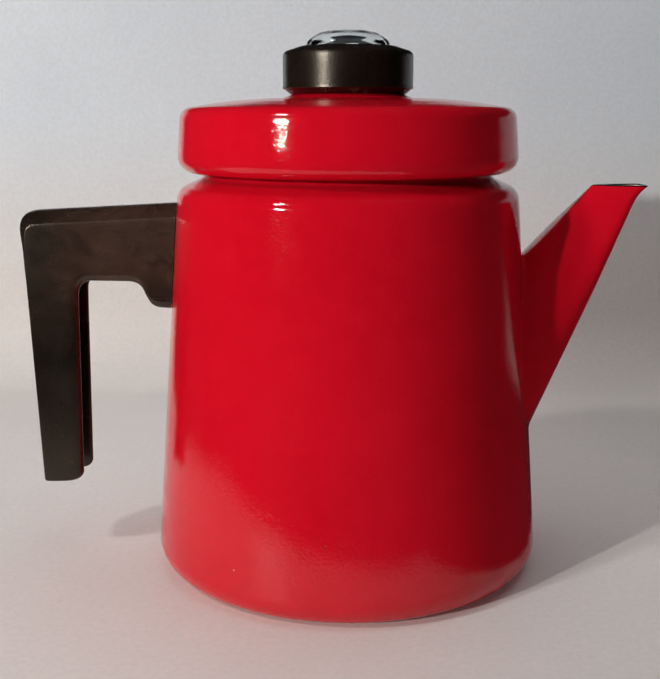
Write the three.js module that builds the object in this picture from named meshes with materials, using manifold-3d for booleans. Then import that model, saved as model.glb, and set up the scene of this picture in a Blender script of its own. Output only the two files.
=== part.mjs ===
// Stovetop percolator coffee pot in enamelled steel.
// Units are millimetres, +Z is up. The pot's axis is the Z axis and the base stands on Z = 0.
// The spout points along +X and the handle along -X.
import * as THREE from 'three';
import { mergeVertices } from 'three/addons/utils/BufferGeometryUtils.js';
import Module from 'manifold-3d';

const wasm = await Module();
wasm.setup();

// ---------------------------------------------------------------- driving dimensions
const SHEET = 1.2;             // enamelled sheet thickness
const GAP = 0.3;               // play kept between touching pieces

// pot body
const BASE_R = 75.0;           // wall line carried down to the base plane
const DRAFT = 0.0764;          // loss of radius per mm of height
const BASE_FILLET = 9.3;
const SHOULDER_FILLET = 6.0;
const SHOULDER = [63.95, 144.8];   // meeting of wall line and shoulder slope
const NECK_R = 53.9;
const NECK_FOOT_Z = 149.4;
const NECK_TOP_Z = 152.2;

// lid
const LID_BOTTOM_Z = 151.0;
const LID_TOP_Z = 174.1;
const LID_FIT = 0.5;           // the lid stands this far proud of the wall line
const LID_BOTTOM_FILLET = 6.0;
const LID_TOP_FILLET = 4.4;
const LID_CROWN_Z = 176.05;
const LID_NECK_R = 21.3;
const LID_NECK_TOP_Z = 178.5;
const LID_HOLE_R = 18.0;
const LID_HEM_R = 55.0;
const COLLAR_SLEEVE_R = 51.5;
const COLLAR_SLEEVE_BOTTOM_Z = 139.0;

// knob ring and sight dome
const KNOB_R = 24.3;
const KNOB_BOTTOM_Z = 178.8;
const KNOB_SIDE_BOTTOM_Z = 181.3;
const KNOB_TOP_Z = 196.7;
const DOME_R = 15.5;
const DOME_TOP_Z = 202.4;
const DOME_FLANGE_R = 17.6;

// handle
const HANDLE_W = 20.0;         // across the cheeks
const HANDLE_CROWN = 5.0;      // rise of the back between the two ridges
const CHEEK = 3.0;
const HANDLE_BACK_TOP = [-125.2, 138.3];
const GRIP_END_Z = 30.7;

// spout
const SPOUT_ROOT_HALF = 22.6;
const SPOUT_RIM_HALF = 8.5;
const SPOUT_RIM_Z = 146.0;

// pump and basket
const BELL_R = 34.0;
const TUBE_R = 5.0;
const TUBE_BORE_R = 4.2;
const TUBE_TOP_Z = 187.0;
const STOP_Z = 90.0;
const BASKET_FLOOR_Z = 95.3;
const BASKET_R = 39.5;
const BASKET_TOP_Z = 137.6;

const SEG = 40;

// ---------------------------------------------------------------- helpers
const V2 = (r, z) => new THREE.Vector2(r, z);

// Polyline [r, z, fillet radius] turned into points with rounded corners.
function rounded(list, steps = 3) {
  const out = [];
  list.forEach((p, i) => {
    const rad = p[2] || 0;
    if (!rad || i === 0 || i === list.length - 1) { out.push(V2(p[0], p[1])); return; }
    const b = V2(p[0], p[1]);
    const u = V2(list[i - 1][0], list[i - 1][1]).sub(b).normalize();
    const v = V2(list[i + 1][0], list[i + 1][1]).sub(b).normalize();
    const half = Math.acos(THREE.MathUtils.clamp(u.dot(v), -1, 1)) / 2;
    const t = rad / Math.tan(half);
    const c = b.clone().add(u.clone().add(v).normalize().multiplyScalar(rad / Math.sin(half)));
    const p1 = b.clone().addScaledVector(u, t), p2 = b.clone().addScaledVector(v, t);
    const a1 = Math.atan2(p1.y - c.y, p1.x - c.x), a2 = Math.atan2(p2.y - c.y, p2.x - c.x);
    let d = a2 - a1;
    while (d > Math.PI) d -= 2 * Math.PI;
    while (d < -Math.PI) d += 2 * Math.PI;
    for (let k = 0; k <= steps; k++) {
      const a = a1 + d * k / steps;
      out.push(V2(c.x + rad * Math.cos(a), c.y + rad * Math.sin(a)));
    }
  });
  return out;
}

function toSolid(geometry) {
  const g = geometry.clone();
  g.deleteAttribute('normal');
  g.deleteAttribute('uv');
  const m = mergeVertices(g, 1e-5);
  const make = (tris) => new wasm.Manifold(new wasm.Mesh({
    numProp: 3, vertProperties: new Float32Array(m.attributes.position.array), triVerts: tris,
  }));
  const raw = Array.from(m.index.array);
  const keep = [];
  for (let i = 0; i < raw.length; i += 3) {
    const [a, b, c] = [raw[i], raw[i + 1], raw[i + 2]];
    if (a !== b && b !== c && a !== c) keep.push(a, b, c);
  }
  // signed volume decides which way the faces look
  const P = m.attributes.position.array;
  let vol = 0;
  for (let i = 0; i < keep.length; i += 3) {
    const [a, b, c] = [keep[i] * 3, keep[i + 1] * 3, keep[i + 2] * 3];
    vol += P[a] * (P[b + 1] * P[c + 2] - P[b + 2] * P[c + 1])
      - P[a + 1] * (P[b] * P[c + 2] - P[b + 2] * P[c])
      + P[a + 2] * (P[b] * P[c + 1] - P[b + 1] * P[c]);
  }
  if (vol < 0) for (let i = 0; i < keep.length; i += 3) [keep[i + 1], keep[i + 2]] = [keep[i + 2], keep[i + 1]];
  return make(new Uint32Array(keep));
}

function toGeometry(solid) {
  const mesh = solid.getMesh();
  const n = mesh.numProp, count = mesh.vertProperties.length / n;
  const pos = new Float32Array(count * 3);
  for (let i = 0; i < count; i++) for (let k = 0; k < 3; k++) pos[i * 3 + k] = mesh.vertProperties[i * n + k];
  const g = new THREE.BufferGeometry();
  g.setAttribute('position', new THREE.BufferAttribute(pos, 3));
  g.setIndex(new THREE.BufferAttribute(new Uint32Array(mesh.triVerts), 1));
  g.computeVertexNormals();
  return g;
}

// Profile of (r, z) points turned about the Z axis.
function turned(points, seg = SEG) {
  const g = new THREE.LatheGeometry(points, seg);
  g.rotateX(Math.PI / 2);
  return toSolid(g);
}

// Closed ring profile turned about the Z axis.
function ring(points, seg = SEG) {
  return turned([...points, points[0].clone()], seg);
}

// Outline in the XZ plane given a thickness along Y, centred on y = 0.
function plate(points, width) {
  const s = new THREE.Shape(points);
  const g = new THREE.ExtrudeGeometry(s, { depth: width, bevelEnabled: false, steps: 1 });
  g.rotateX(Math.PI / 2);
  g.translate(0, width / 2, 0);
  return toSolid(g);
}

function rod(r, z0, z1, x = 0, y = 0, seg = 24) {
  const g = new THREE.CylinderGeometry(r, r, z1 - z0, seg);
  g.rotateX(Math.PI / 2);
  g.translate(x, y, (z0 + z1) / 2);
  return toSolid(g);
}

const group = new THREE.Group();

function piece(name, solid, color, roughness, metalness, extra = {}) {
  const mesh = new THREE.Mesh(toGeometry(solid),
    new THREE.MeshStandardMaterial({ color, roughness, metalness, ...extra }));
  mesh.name = name;
  group.add(mesh);
  return solid;
}

const ENAMEL_RED = 0xb3101c, BAKELITE = 0x1d1410, ALU = 0xb9bbbd, STEEL = 0x9a9c9e,
  BRASS = 0xb08d4a, GLASS = 0xd8e2e4, RUBBER = 0x2b2b2b;

// ---------------------------------------------------------------- pot body
const wallR = (z) => BASE_R - DRAFT * z;

const bodyOuter = rounded([
  [0, 0], [BASE_R, 0, BASE_FILLET], [SHOULDER[0], SHOULDER[1], SHOULDER_FILLET],
  [NECK_R, NECK_FOOT_Z, 2.5], [NECK_R, NECK_TOP_Z],
]);
const bodyInner = rounded([
  [NECK_R - SHEET - 0.4, NECK_TOP_Z],
  [NECK_R - SHEET - 0.4, NECK_FOOT_Z - SHEET + 0.2, 2.5],
  [SHOULDER[0] - SHEET, SHOULDER[1] - SHEET, SHOULDER_FILLET - SHEET],
  [BASE_R - SHEET - 0.1, SHEET, BASE_FILLET - SHEET], [0, SHEET],
], 2);

// Solid envelope of the pot grown outwards, used to trim what butts against the wall.
function envelope(grow) {
  return turned([V2(0, -5), V2(wallR(-5) + grow, -5), V2(wallR(139) + grow, 139),
    V2(wallR(144) + grow, 144), V2(0, 144)]);
}

// ---------------------------------------------------------------- spout
// The spout is a run of drop-shaped sections. Each spans an upper and a lower edge point in the XZ
// plane, round below and drawn to a fold along the upper edge, the more so towards the mouth.
const SPOUT_UP = [[55.0, 106.9], [67.4, 119.9], [92.3, 146.0]];
const SPOUT_LOW = [[64.7, 37.7], [71.3, 53.3], [107.1, 138.0], [108.5, 141.4], [110.2, 143.9], [112.7, 146.0]];
const SPOUT_FOLD = 5.5;        // depth of the closed fold at the mouth

function along(list, breaks, t) {
  for (let i = 0; i < breaks.length - 1; i++) {
    if (t <= breaks[i + 1] || i === breaks.length - 2) {
      const k = (t - breaks[i]) / (breaks[i + 1] - breaks[i]);
      return V2(list[i][0] + (list[i + 1][0] - list[i][0]) * k, list[i][1] + (list[i + 1][1] - list[i][1]) * k);
    }
  }
}
const UP_BREAKS = [-0.4, 0, 1];
const LOW_BREAKS = [-0.4, 0, 0.88, 0.93, 0.965, 1];

// half width of a drop-shaped section, as a share of an oval's, scaled so that the widest place is 1
function dropShare(s, power) {
  const widest = (power + 0.5) / (power + 1);
  return 0.12 + 0.88 * Math.max(s, 0) ** power / (2 * Math.sqrt(widest * (1 - widest)) * widest ** power);
}

function spoutSolid(inset, t0, t1, seg = 32) {
  const cuts = [t0, 0.3, 0.6, 0.88, 0.93, 0.965, 1].filter((t, i, a) => i === 0 || (t > t0 + 1e-6 && t <= t1 + 1e-6));
  if (t1 > 1) cuts.push(t1);
  const g = new THREE.CylinderGeometry(1, 1, 1, seg, cuts.length - 1);
  const P = g.attributes.position;
  for (let i = 0; i < P.count; i++) {
    const row = Math.round((P.getY(i) + 0.5) * (cuts.length - 1));
    const t = cuts[row];
    const up = along(SPOUT_UP, UP_BREAKS, t), low = along(SPOUT_LOW, LOW_BREAKS, t);
    const mid = up.clone().add(low).multiplyScalar(0.5);
    const axis = low.clone().sub(up).multiplyScalar(0.5);
    const len = axis.length();
    const tt = THREE.MathUtils.clamp(t, -0.4, 1);
    const draw = Math.max(tt, 0) ** 1.5;
    const fold = inset > 0 ? 0.5 + (SPOUT_FOLD - 0.5) * draw : 0;
    axis.multiplyScalar(1 / len);
    const reach = Math.max(len - inset - fold / 2, 0.5);
    mid.addScaledVector(axis, fold / 2);
    const half = SPOUT_ROOT_HALF + (SPOUT_RIM_HALF - SPOUT_ROOT_HALF) * tt - inset * 1.3;
    const power = inset > 0 ? 0.3 + 1.6 * draw : 0.25 + 2.05 * draw;
    const c = P.getX(i);
    P.setXYZ(i, mid.x + axis.x * reach * c, half * P.getZ(i) * dropShare((1 + c) / 2, power), mid.y + axis.y * reach * c);
  }
  return toSolid(g);
}

const spoutOuter = spoutSolid(0, -0.4, 1);
const spoutBore = spoutSolid(SHEET, -0.55, 1.08);
const spout = spoutOuter.subtract(spoutBore).subtract(envelope(GAP));

// The wall is opened behind the spout, a little inside the spout's own bore.
const wallOpening = spoutSolid(7.0, -0.55, 0.3, 24);
const body = turned([...bodyOuter, ...bodyInner]).subtract(wallOpening);

piece('body_shell', body, ENAMEL_RED, 0.12, 0.0);
piece('spout', spout, ENAMEL_RED, 0.12, 0.0);

// ---------------------------------------------------------------- lid
const lidR = (z) => wallR(z) + LID_FIT;
const lidOuter = rounded([
  [LID_HEM_R, LID_BOTTOM_Z], [lidR(LID_BOTTOM_Z), LID_BOTTOM_Z, LID_BOTTOM_FILLET],
  [lidR(LID_TOP_Z), LID_TOP_Z, LID_TOP_FILLET], [44, 175.35], [26.0, LID_CROWN_Z], [23.6, 176.35], [22.2, 177.0], [21.5, 177.9],
  [LID_NECK_R, LID_NECK_TOP_Z], [LID_HOLE_R, LID_NECK_TOP_Z],
], 3);
const lidInner = rounded([
  [LID_HOLE_R, LID_NECK_TOP_Z - SHEET + 0.1], [LID_NECK_R - 0.8, LID_NECK_TOP_Z - SHEET + 0.1],
  [22.0, 175.6], [26.0, LID_CROWN_Z - SHEET],
  [lidR(LID_TOP_Z) - SHEET, LID_TOP_Z - SHEET, LID_TOP_FILLET - SHEET],
  [lidR(LID_BOTTOM_Z) - SHEET, LID_BOTTOM_Z + SHEET, LID_BOTTOM_FILLET - SHEET], [LID_HEM_R, LID_BOTTOM_Z + SHEET],
], 2);
piece('lid_shell', ring([...lidOuter, ...lidInner]), ENAMEL_RED, 0.12, 0.0);

// sleeve that plugs into the neck, with the flange by which the lid sits on the rim
const flangeZ = LID_BOTTOM_Z + SHEET + GAP;
piece('lid_collar', ring(rounded([
  [COLLAR_SLEEVE_R - SHEET, COLLAR_SLEEVE_BOTTOM_Z], [COLLAR_SLEEVE_R, COLLAR_SLEEVE_BOTTOM_Z],
  [COLLAR_SLEEVE_R, flangeZ], [57.3, flangeZ], [57.3, flangeZ + SHEET], [COLLAR_SLEEVE_R - SHEET, flangeZ + SHEET, 1.6],
], 3).concat([])), ENAMEL_RED, 0.15, 0.0);

// ---------------------------------------------------------------- knob ring, dome, seal and lock ring
const knob = ring(rounded([
  [LID_HOLE_R + 0.2, KNOB_BOTTOM_Z], [LID_NECK_R, KNOB_BOTTOM_Z], [KNOB_R - 0.9, KNOB_SIDE_BOTTOM_Z - 0.7],
  [KNOB_R + 0.1, KNOB_SIDE_BOTTOM_Z], [KNOB_R - 0.1, KNOB_SIDE_BOTTOM_Z + 1.0], [KNOB_R - 0.1, 194.6, 1.9],
  [DOME_R + 1.6, KNOB_TOP_Z, 0.8], [DOME_R + GAP, KNOB_TOP_Z - 0.3], [DOME_R + GAP, 187.3], [LID_HOLE_R + 0.2, 187.3],
], 2), 32);
piece('knob_collar', knob, BAKELITE, 0.35, 0.0);

piece('glass_dome', ring([
  V2(12.6, 184.0), V2(DOME_FLANGE_R, 184.0), V2(DOME_FLANGE_R, 187.0), V2(DOME_R, 187.0), V2(DOME_R, 196.9),
  V2(14.7, 198.6), V2(12.2, 200.4), V2(8.0, 201.75), V2(4.0, 202.25), V2(0.0, DOME_TOP_Z),
  V2(0.0, 199.6), V2(6.5, 199.2), V2(11.0, 197.6), V2(12.6, 195.0),
], 28), GLASS, 0.05, 0.0, { transparent: true, opacity: 0.35 });

piece('dome_gasket', ring([V2(14.0, 182.0), V2(DOME_FLANGE_R, 182.0), V2(DOME_FLANGE_R, 183.7), V2(14.0, 183.7)], 28),
  RUBBER, 0.8, 0.0);

piece('dome_lock_ring', ring([
  V2(14.4, 174.4), V2(20.1, 174.4), V2(20.1, 176.3), V2(17.6, 176.8), V2(17.6, 181.7), V2(14.4, 181.7),
], 28), ALU, 0.35, 1.0);

// ---------------------------------------------------------------- handle
// Side outline of the bakelite moulding. The third value is the share of the back's crown the
// point carries: 1 on the crowned back, 0 on the plain cheeks' inner edges.
const back = [
  [-55.0, 139.9, 1, 0, -1], [-92.0, 138.05, 1, 0, -1], [-118.2, 136.6, 1, 0.12, -1],
  [-121.6, 135.8, 1, 0.4, -0.92], [-123.8, 134.1, 1, 0.72, -0.72], [-125.1, 131.6, 1, 0.94, -0.4],
  [-125.15, 128.6, 1, 0.9, -0.08], [-123.9, 124.0, 1, 0.54, 0], [-122.9, 119.5, 1, 0.3, 0], [-122.4, 115.0, 1, 0.2, 0],
  [-120.96, 78.0, 1, 0.2, 0], [-119.35, 32.3, 1, 0.2, 0], [-119.0, 31.0, 1, 0.2, 0], [-118.0, GRIP_END_Z - 0.1, 1, 0.2, 0],
];
const front = [
  [-107.4, 31.2], [-105.3, 31.9], [-104.0, 33.4], [-103.5, 35.4], [-103.5, 40.0], [-103.1, 64.0],
  [-102.7, 95.0], [-102.3, 104.9], [-101.6, 107.6], [-100.0, 109.5], [-97.6, 110.3],
  [-84.0, 110.1], [-81.2, 109.6], [-79.0, 108.0], [-77.5, 105.3], [-76.0, 102.8], [-74.0, 101.0], [-71.4, 100.1],
  [-67.6, 99.85], [-55.0, 99.85],
];
function handleBlank() {
  const outline = [...back.map((p) => V2(p[0], p[1])), ...front.map((p) => V2(p[0], p[1]))];
  const steps = 8;
  const g = new THREE.ExtrudeGeometry(new THREE.Shape(outline), { depth: HANDLE_W, bevelEnabled: false, steps });
  g.rotateX(Math.PI / 2);
  g.translate(0, HANDLE_W / 2, 0);
  const P = g.attributes.position;
  for (let i = 0; i < P.count; i++) {
    const x = P.getX(i), z = P.getZ(i), y = P.getY(i);
    const hit = back.find((b) => Math.hypot(b[0] - x, b[1] - z) < 1e-3);
    if (!hit) continue;
    const drop = HANDLE_CROWN * (y / (HANDLE_W / 2)) ** 2;
    P.setXYZ(i, x + hit[3] * drop, y, z + hit[4] * drop);
  }
  return toSolid(g);
}
const channel = plate([
  V2(-55, 131.6), V2(-112.5, 130.0), V2(-116.2, 128.9), V2(-118.0, 126.0), V2(-117.6, 110.0), V2(-116.2, 70.0), V2(-114.6, 20.0),
  V2(-95.0, 20.0), V2(-95.0, 95.0), V2(-55.0, 95.0),
], HANDLE_W - 2 * CHEEK);
const BOSS_X = -84.0;
const boss = rod(5.6, 123.8, 132.5, BOSS_X, 0, 20);
const insertBore = rod(3.3, 123.0, 131.0, BOSS_X, 0, 20);
const handle = handleBlank().subtract(channel).add(boss).subtract(insertBore).subtract(envelope(GAP));
piece('handle_grip', handle, BAKELITE, 0.35, 0.0);

piece('handle_insert', rod(3.0, 124.1, 130.6, BOSS_X, 0, 20).subtract(rod(2.2, 123.0, 132.0, BOSS_X, 0, 20)), BRASS, 0.35, 1.0);

// steel lug: a foot shaped to the wall and a flat tongue inside the handle's channel
const lugFoot = plate([V2(-60, 104.0), V2(-69.2, 104.0), V2(-67.8, 121.0), V2(-67.1, 127.5), V2(-60, 127.5)], 13.0);
const lugTongue = plate([V2(-60, 121.0), V2(-92.0, 121.0), V2(-92.0, 123.5), V2(-60, 123.5)], 13.0);
const lugRib = plate([V2(-60, 108.0), V2(-68.0, 108.0), V2(-78.0, 121.5), V2(-60, 121.5)], 2.2);
piece('handle_bracket', lugFoot.add(lugTongue).add(lugRib).subtract(rod(2.3, 119.0, 125.0, BOSS_X, 0, 20)).subtract(envelope(GAP)),
  STEEL, 0.4, 1.0);

piece('handle_washer', rod(4.6, 119.6, 120.7, BOSS_X, 0, 20).subtract(rod(2.3, 119.0, 122.0, BOSS_X, 0, 20)), STEEL, 0.35, 1.0);

const screwSlot = new THREE.BoxGeometry(9, 1.1, 1.4);
screwSlot.translate(BOSS_X, 0, 116.6);
piece('handle_screw', rod(1.9, 117.0, 130.0, BOSS_X, 0, 16).add(rod(3.9, 116.6, 119.3, BOSS_X, 0, 20)).subtract(toSolid(screwSlot)),
  STEEL, 0.3, 1.0);

// ---------------------------------------------------------------- pump
const bell = ring(rounded([
  [BELL_R - 1.0, SHEET + GAP], [BELL_R, SHEET + GAP], [BELL_R - 1.2, 6.0, 2.0], [12.0, 12.6, 3.0], [6.5, 13.6, 1.2], [6.5, 21.0],
  [TUBE_R + GAP, 21.0], [TUBE_R + GAP, 12.4], [11.6, 11.4], [BELL_R - 2.3, 5.2],
], 1), 32);
let bellCut = bell;
for (let k = 0; k < 6; k++) {
  const slot = new THREE.CylinderGeometry(2.0, 2.0, 8, 8);
  slot.rotateZ(Math.PI / 2);
  slot.translate(BELL_R, 0, 0.9);
  slot.rotateZ(Math.PI / 3 * k + Math.PI / 6);
  bellCut = bellCut.subtract(toSolid(slot));
}
piece('pump_bell', bellCut, ALU, 0.35, 1.0);

piece('riser_tube', ring([V2(TUBE_BORE_R, 5.0), V2(TUBE_R, 5.0), V2(TUBE_R, TUBE_TOP_Z), V2(TUBE_BORE_R, TUBE_TOP_Z)], 24), ALU, 0.35, 1.0);

piece('basket_stop_ring', ring(rounded([
  [TUBE_R + GAP, STOP_Z], [7.6, STOP_Z], [7.6, STOP_Z + 3.5], [TUBE_R + GAP, STOP_Z + 3.5],
], 2), 24), ALU, 0.35, 1.0);

// ---------------------------------------------------------------- basket
function holes(solid, list, r, z0, z1) {
  let cut = null;
  for (const [x, y] of list) {
    const h = rod(r, z0, z1, x, y, 6);
    cut = cut ? cut.add(h) : h;
  }
  return solid.subtract(cut);
}
const circle = (n, r, off = 0) => Array.from({ length: n }, (_, k) => {
  const a = 2 * Math.PI * (k + off) / n;
  return [r * Math.cos(a), r * Math.sin(a)];
});

const basket = ring(rounded([
  [7.2, BASKET_FLOOR_Z], [BASKET_R - 2, BASKET_FLOOR_Z, 4.0], [BASKET_R, BASKET_TOP_Z - 1.2], [BASKET_R + 2.2, BASKET_TOP_Z - 1.2],
  [BASKET_R + 2.2, BASKET_TOP_Z], [BASKET_R - 1.0, BASKET_TOP_Z, 0.6], [BASKET_R - 3.0, BASKET_FLOOR_Z + 1.0, 3.0], [7.2, BASKET_FLOOR_Z + 1.0],
], 1), 36);
piece('coffee_basket', holes(basket, [...circle(8, 14), ...circle(12, 22, 0.5), ...circle(16, 30)], 1.4,
  BASKET_FLOOR_Z - 1, BASKET_FLOOR_Z + 2), ALU, 0.35, 1.0);

piece('basket_sleeve', ring([
  V2(TUBE_R + 0.5, STOP_Z + 3.8), V2(11.0, STOP_Z + 3.8), V2(11.0, STOP_Z + 5.0), V2(6.9, STOP_Z + 5.0),
  V2(6.9, BASKET_TOP_Z - 3.0), V2(TUBE_R + 0.5, BASKET_TOP_Z - 3.0),
], 24), ALU, 0.35, 1.0);

const spreader = ring(rounded([
  [7.6, 135.4], [36.4, 135.4, 1.2], [36.8, BASKET_TOP_Z + 0.3], [BASKET_R + 1.4, BASKET_TOP_Z + 0.3], [BASKET_R + 1.4, BASKET_TOP_Z + 1.3],
  [35.8, BASKET_TOP_Z + 1.3], [35.4, 136.4], [8.6, 136.4], [8.6, 141.0], [7.6, 141.0],
], 1), 36);
piece('basket_spreader', holes(spreader, [...circle(8, 14), ...circle(12, 22, 0.5), ...circle(16, 30)], 1.4, 134, 138),
  ALU, 0.35, 1.0);

export default group;
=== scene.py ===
import math

import bmesh
import bpy
import numpy as np
from mathutils import Matrix, Vector


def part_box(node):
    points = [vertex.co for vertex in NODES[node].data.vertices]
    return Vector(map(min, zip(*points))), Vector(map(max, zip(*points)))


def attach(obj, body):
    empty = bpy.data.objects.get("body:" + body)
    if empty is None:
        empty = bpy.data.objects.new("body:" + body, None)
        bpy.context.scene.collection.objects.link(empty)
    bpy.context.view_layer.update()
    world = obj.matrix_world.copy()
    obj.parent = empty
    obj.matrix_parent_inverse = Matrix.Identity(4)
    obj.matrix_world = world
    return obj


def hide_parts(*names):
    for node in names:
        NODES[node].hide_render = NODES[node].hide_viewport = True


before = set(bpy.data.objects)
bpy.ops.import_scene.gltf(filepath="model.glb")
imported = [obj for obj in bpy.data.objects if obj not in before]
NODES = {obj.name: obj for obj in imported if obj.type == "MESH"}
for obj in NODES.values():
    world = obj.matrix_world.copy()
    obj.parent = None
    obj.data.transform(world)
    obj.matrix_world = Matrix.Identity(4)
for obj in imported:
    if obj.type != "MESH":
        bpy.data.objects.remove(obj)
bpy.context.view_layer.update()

MM = 0.001
BASE_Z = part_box("body_shell")[0].z / MM          # the base plane, in mm, from the frame

# ------------------------------------------------------------------ driving dimensions (mm)
SHEET = 1.2
BASE_R, DRAFT = 75.0, 0.0764
SHOULDER = (63.95, 144.8)
NECK_R = 53.9
NECK_FOOT_Z = 149.4
NECK_TOP_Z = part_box("body_shell")[1].z / MM
LID_BOTTOM_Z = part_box("lid_shell")[0].z / MM
LID_TOP_Z = 174.1
LID_NECK_TOP_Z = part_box("lid_shell")[1].z / MM
KNOB_BOTTOM_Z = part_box("knob_collar")[0].z / MM
KNOB_TOP_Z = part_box("knob_collar")[1].z / MM
DOME_TOP_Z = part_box("glass_dome")[1].z / MM
HANDLE_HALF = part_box("handle_grip")[1].y / MM
GRIP_END_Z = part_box("handle_grip")[0].z / MM
SPOUT_ROOT_HALF, SPOUT_RIM_HALF = 22.6, 8.5
SPOUT_FOLD = 5.5                                 # how far the front of the mouth is pinched shut


def wall_r(z):
    return BASE_R - DRAFT * z


# ------------------------------------------------------------------ mesh helpers
def rounded(points, fine=0.45):
    """Polyline of (r, z, fillet radius, tag) with its corners turned into fine arcs. Each result is (r, z, tag)."""
    out = []
    n = len(points)
    for i, p in enumerate(points):
        r, z = p[0], p[1]
        rad = p[2] if len(p) > 2 else 0
        tag = p[3] if len(p) > 3 else None
        if not rad or i in (0, n - 1):
            out.append((r, z, tag))
            continue
        b = np.array([r, z], float)
        a = np.array(points[i - 1][:2], float)
        c = np.array(points[i + 1][:2], float)
        u = (a - b) / np.linalg.norm(a - b)
        v = (c - b) / np.linalg.norm(c - b)
        half = math.acos(max(-1, min(1, float(u @ v)))) / 2
        t = rad / math.tan(half)
        t = min(t, 0.499 * np.linalg.norm(a - b) if i > 1 and len(points[i - 1]) > 2 and points[i - 1][2] else t)
        rad = t * math.tan(half)
        ctr = b + (u + v) / np.linalg.norm(u + v) * rad / math.sin(half)
        p1, p2 = b + u * t, b + v * t
        a1 = math.atan2(*(p1 - ctr)[::-1])
        a2 = math.atan2(*(p2 - ctr)[::-1])
        d = (a2 - a1 + math.pi) % (2 * math.pi) - math.pi
        k = max(3, int(abs(d) * rad / fine) + 1)
        for q in range(k + 1):
            w = a1 + d * q / k
            out.append((ctr[0] + rad * math.cos(w), ctr[1] + rad * math.sin(w), tag))
    return out


def split_long(pts, longest):
    out = []
    for p, q in zip(pts[:-1], pts[1:]):
        L = math.hypot(q[0] - p[0], q[1] - p[1])
        k = max(1, int(math.ceil(L / longest)))
        for i in range(k):
            t = i / k
            out.append((p[0] + (q[0] - p[0]) * t, p[1] + (q[1] - p[1]) * t, p[2] if i == 0 else p[2]))
    out.append(pts[-1])
    return out


def spline(points, n):
    """n points along a natural cubic through the given 2D points, evenly spaced by length."""
    P = np.array(points, float)
    s = np.concatenate([[0], np.cumsum(np.linalg.norm(np.diff(P, axis=0), axis=1) ** 0.5)])
    m = len(P)
    h = np.diff(s)
    A = np.eye(m)
    B = np.zeros((m, 2))
    for i in range(1, m - 1):
        A[i, i - 1], A[i, i], A[i, i + 1] = h[i - 1], 2 * (h[i - 1] + h[i]), h[i]
        B[i] = 6 * ((P[i + 1] - P[i]) / h[i] - (P[i] - P[i - 1]) / h[i - 1])
    M = np.linalg.solve(A, B)
    out = []
    for t in np.linspace(0, s[-1], max(12 * m, 8 * n)):
        i = min(m - 2, max(0, int(np.searchsorted(s, t, side="right")) - 1))
        a, b = s[i + 1] - t, t - s[i]
        out.append((M[i] * a ** 3 + M[i + 1] * b ** 3) / (6 * h[i]) + (P[i] / h[i] - M[i] * h[i] / 6) * a + (P[i + 1] / h[i] - M[i + 1] * h[i] / 6) * b)
    return resample(out, n)


def resample(run, n):
    P = np.array(run, float)
    s = np.concatenate([[0], np.cumsum(np.linalg.norm(np.diff(P, axis=0), axis=1))])
    t = np.linspace(0, s[-1], n)
    return np.stack([np.interp(t, s, P[:, k]) for k in range(P.shape[1])], -1)


def new_object(name, verts, faces, mats, face_mats=None, sharp=32, smooth=True, collection=None):
    me = bpy.data.meshes.new(name)
    me.from_pydata([tuple(v) for v in verts], [], faces)
    me.validate(verbose=False)
    for m in mats:
        me.materials.append(m)
    if face_mats is not None and len(face_mats) == len(me.polygons):
        me.polygons.foreach_set("material_index", face_mats)
    bm = bmesh.new()
    bm.from_mesh(me)
    bmesh.ops.recalc_face_normals(bm, faces=bm.faces)
    if bm.calc_volume(signed=True) < 0:
        bmesh.ops.reverse_faces(bm, faces=bm.faces)
    bm.to_mesh(me)
    bm.free()
    me.polygons.foreach_set("use_smooth", [smooth] * len(me.polygons))
    if sharp:
        me.set_sharp_from_angle(angle=math.radians(sharp))
    me.update()
    ob = bpy.data.objects.new(name, me)
    (collection or bpy.context.scene.collection).objects.link(ob)
    return ob


def lathe(name, prof, seg, mats, tags=None, closed=True, sharp=32, phase=0.0):
    """Turns a profile of (r, z, tag) round Z. The tag of a point picks the material of the band that starts there.
    closed joins the last point to the first. Points on the axis become single poles."""
    rows = []
    verts = []
    ang = [2 * math.pi * (k + phase) / seg for k in range(seg)]
    cs = [(math.cos(a), math.sin(a)) for a in ang]
    clean = []
    for p in prof:
        if clean and math.hypot(p[0] - clean[-1][0], p[1] - clean[-1][1]) < 1e-4:
            continue
        clean.append(p)
    if closed and math.hypot(clean[0][0] - clean[-1][0], clean[0][1] - clean[-1][1]) < 1e-4:
        clean.pop()
    for r, z, *_ in clean:
        if r < 1e-5:
            rows.append([len(verts)])
            verts.append((0, 0, z * MM))
        else:
            rows.append(list(range(len(verts), len(verts) + seg)))
            verts.extend((r * c * MM, r * s * MM, z * MM) for c, s in cs)
    faces, fm = [], []
    m = len(clean)
    current = 0
    tagmap = tags or {}
    band = []
    for i in range(m):
        t = clean[i][2] if len(clean[i]) > 2 else None
        if t is not None:
            current = tagmap.get(t, 0)
        band.append(current)
    for i in range(m if closed else m - 1):
        a, b = rows[i], rows[(i + 1) % m]
        if len(a) == 1 and len(b) == 1:
            continue
        for k in range(seg):
            k2 = (k + 1) % seg
            if len(a) == 1:
                faces.append((a[0], b[k], b[k2]))
            elif len(b) == 1:
                faces.append((a[k], b[0], a[k2]))
            else:
                faces.append((a[k], b[k], b[k2], a[k2]))
            fm.append(band[i])
    return new_object(name, verts, faces, mats, fm, sharp)


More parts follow.
